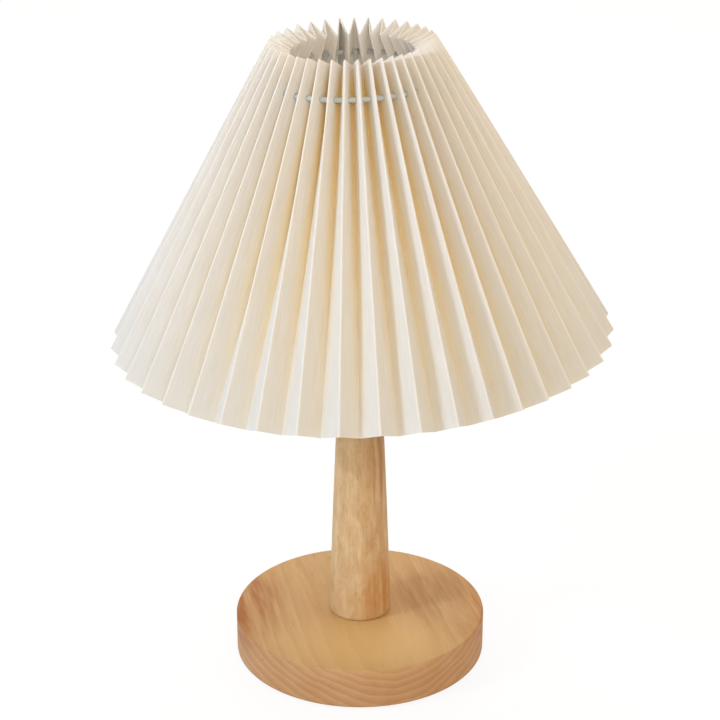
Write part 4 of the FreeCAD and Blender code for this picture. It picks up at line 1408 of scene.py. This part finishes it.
@dataclass
class Studio:
    """Pale floor, a cool window on the left, warm lights right and in front, one behind, camera."""

    camera_place: Spot = (0.0, -1.1157, 0.6672)
    camera_tilt_deg: float = 66.83
    lens: float = 104.83
    sensor: float = 36.0
    aim: Spot = (0.0, 0.0, 0.25)
    lights: tuple[SoftBox, ...] = (
        SoftBox("window", (-1.72, -0.86, 1.25), width=0.45, power=19.5, colour="#C6E0FF"),
        SoftBox("room", (1.6, -0.9, 1.4), width=1.2, power=3.0, colour="#FFDFB0"),
        SoftBox("front", (0.25, -1.65, 1.12), width=0.6, power=7.5, colour="#FFF2DE"),
        SoftBox("backdrop", (0.0, 1.5, 1.7), width=1.4, power=14.0, colour=WHITE),
    )
    fill: float = 0.62
    fill_colour: str = "#FFF3E2"
    floor_size: float = 3.4
    floor_colour: str = "#F8F8F7"
    floor_white: float = 1.03
    floor_share: float = 0.86

    def rays_that_look(self, tree: Tree) -> Socket:
        """Tell the rays that show the background from those that light the lamp.

        Args:
            tree: node tree of the background.

        Returns:
            A factor that is 1 for rays that see it directly, in gloss or through glass.
        """
        path = add_node(tree, "LightPath").outputs
        seen = add_node(tree, "Math", {0: path["Is Camera Ray"], 1: path["Is Glossy Ray"]},
                        operation="MAXIMUM")
        either = add_node(tree, "Math", {0: seen.outputs[0], 1: path["Is Transmission Ray"]},
                          operation="MAXIMUM")
        return either.outputs[0]

    def sky(self) -> None:
        """Light the scene evenly from all round, in front of a white background."""
        world = bpy.data.worlds.new("studio")
        bpy.context.scene.world = world
        world.use_nodes = True
        tree = world.node_tree
        tree.nodes.clear()
        soft = add_node(tree, "Background", {"Color": linear(self.fill_colour),
                                             "Strength": self.fill})
        white = add_node(tree, "Background", {"Color": linear(WHITE), "Strength": 1.0})
        both = add_node(tree, "MixShader", {0: self.rays_that_look(tree), 1: soft.outputs[0],
                                            2: white.outputs[0]})
        add_node(tree, "OutputWorld", {"Surface": both.outputs[0]})

    def floor(self) -> bpy.types.Object:
        """Lay the pale floor, which keeps a light shadow of the lamp.

        Returns:
            The floor.
        """
        bpy.ops.object.select_all(action="DESELECT")
        bpy.ops.mesh.primitive_plane_add(size=self.floor_size, location=(0, 0, 0))
        floor = bpy.context.object
        floor.name = "floor"
        # Painted board: an even matt white, shown mostly as white and partly as it is lit.
        paint = bpy.data.materials.new("pale_floor")
        paint.use_nodes = True
        tree = paint.node_tree
        tree.nodes.clear()
        matt = add_node(tree, "BsdfDiffuse", {"Color": linear(self.floor_colour)})
        white = add_node(tree, "Emission", {"Color": linear(WHITE), "Strength": self.floor_white})
        seen = add_node(tree, "Math", {0: self.rays_that_look(tree), 1: self.floor_share},
                        operation="MULTIPLY")
        both = add_node(tree, "MixShader", {0: seen.outputs[0], 1: matt.outputs[0],
                                            2: white.outputs[0]})
        add_node(tree, "OutputMaterial", {"Surface": both.outputs[0]})
        floor.data.materials.append(paint)
        return floor

    def camera(self) -> bpy.types.Object:
        """Stand the camera where the photograph's ellipses put it.

        Returns:
            The camera.
        """
        optics = bpy.data.cameras.new("camera")
        optics.lens = self.lens
        optics.sensor_width = self.sensor
        camera = bpy.data.objects.new("camera", optics)
        camera.location = self.camera_place
        camera.rotation_euler = (math.radians(self.camera_tilt_deg), 0.0, 0.0)
        bpy.context.scene.collection.objects.link(camera)
        bpy.context.scene.camera = camera
        return camera

    def set_up(self) -> None:
        """Put up the whole studio."""
        self.sky()
        lights = [light.hang(self.aim) for light in self.lights]
        for item in (self.floor(), self.camera(), *lights):
            LOG.info("Studio: %s", item.name)
        bpy.context.scene.view_settings.view_transform = "Standard"


def main() -> None:
    """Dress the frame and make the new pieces."""
    logging.basicConfig(level=logging.INFO, format="%(message)s")
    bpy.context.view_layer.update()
    Studio().set_up()
    sheet = PleatedSheet()
    wires = WireFrame(sheet)
    for group in (Stand(), Lampholder(), ScrewLamp(), wires):
        group.dress(frame["nodes"])
    sheet.build()
    wires.build()


if __name__ == "__main__":
    main()
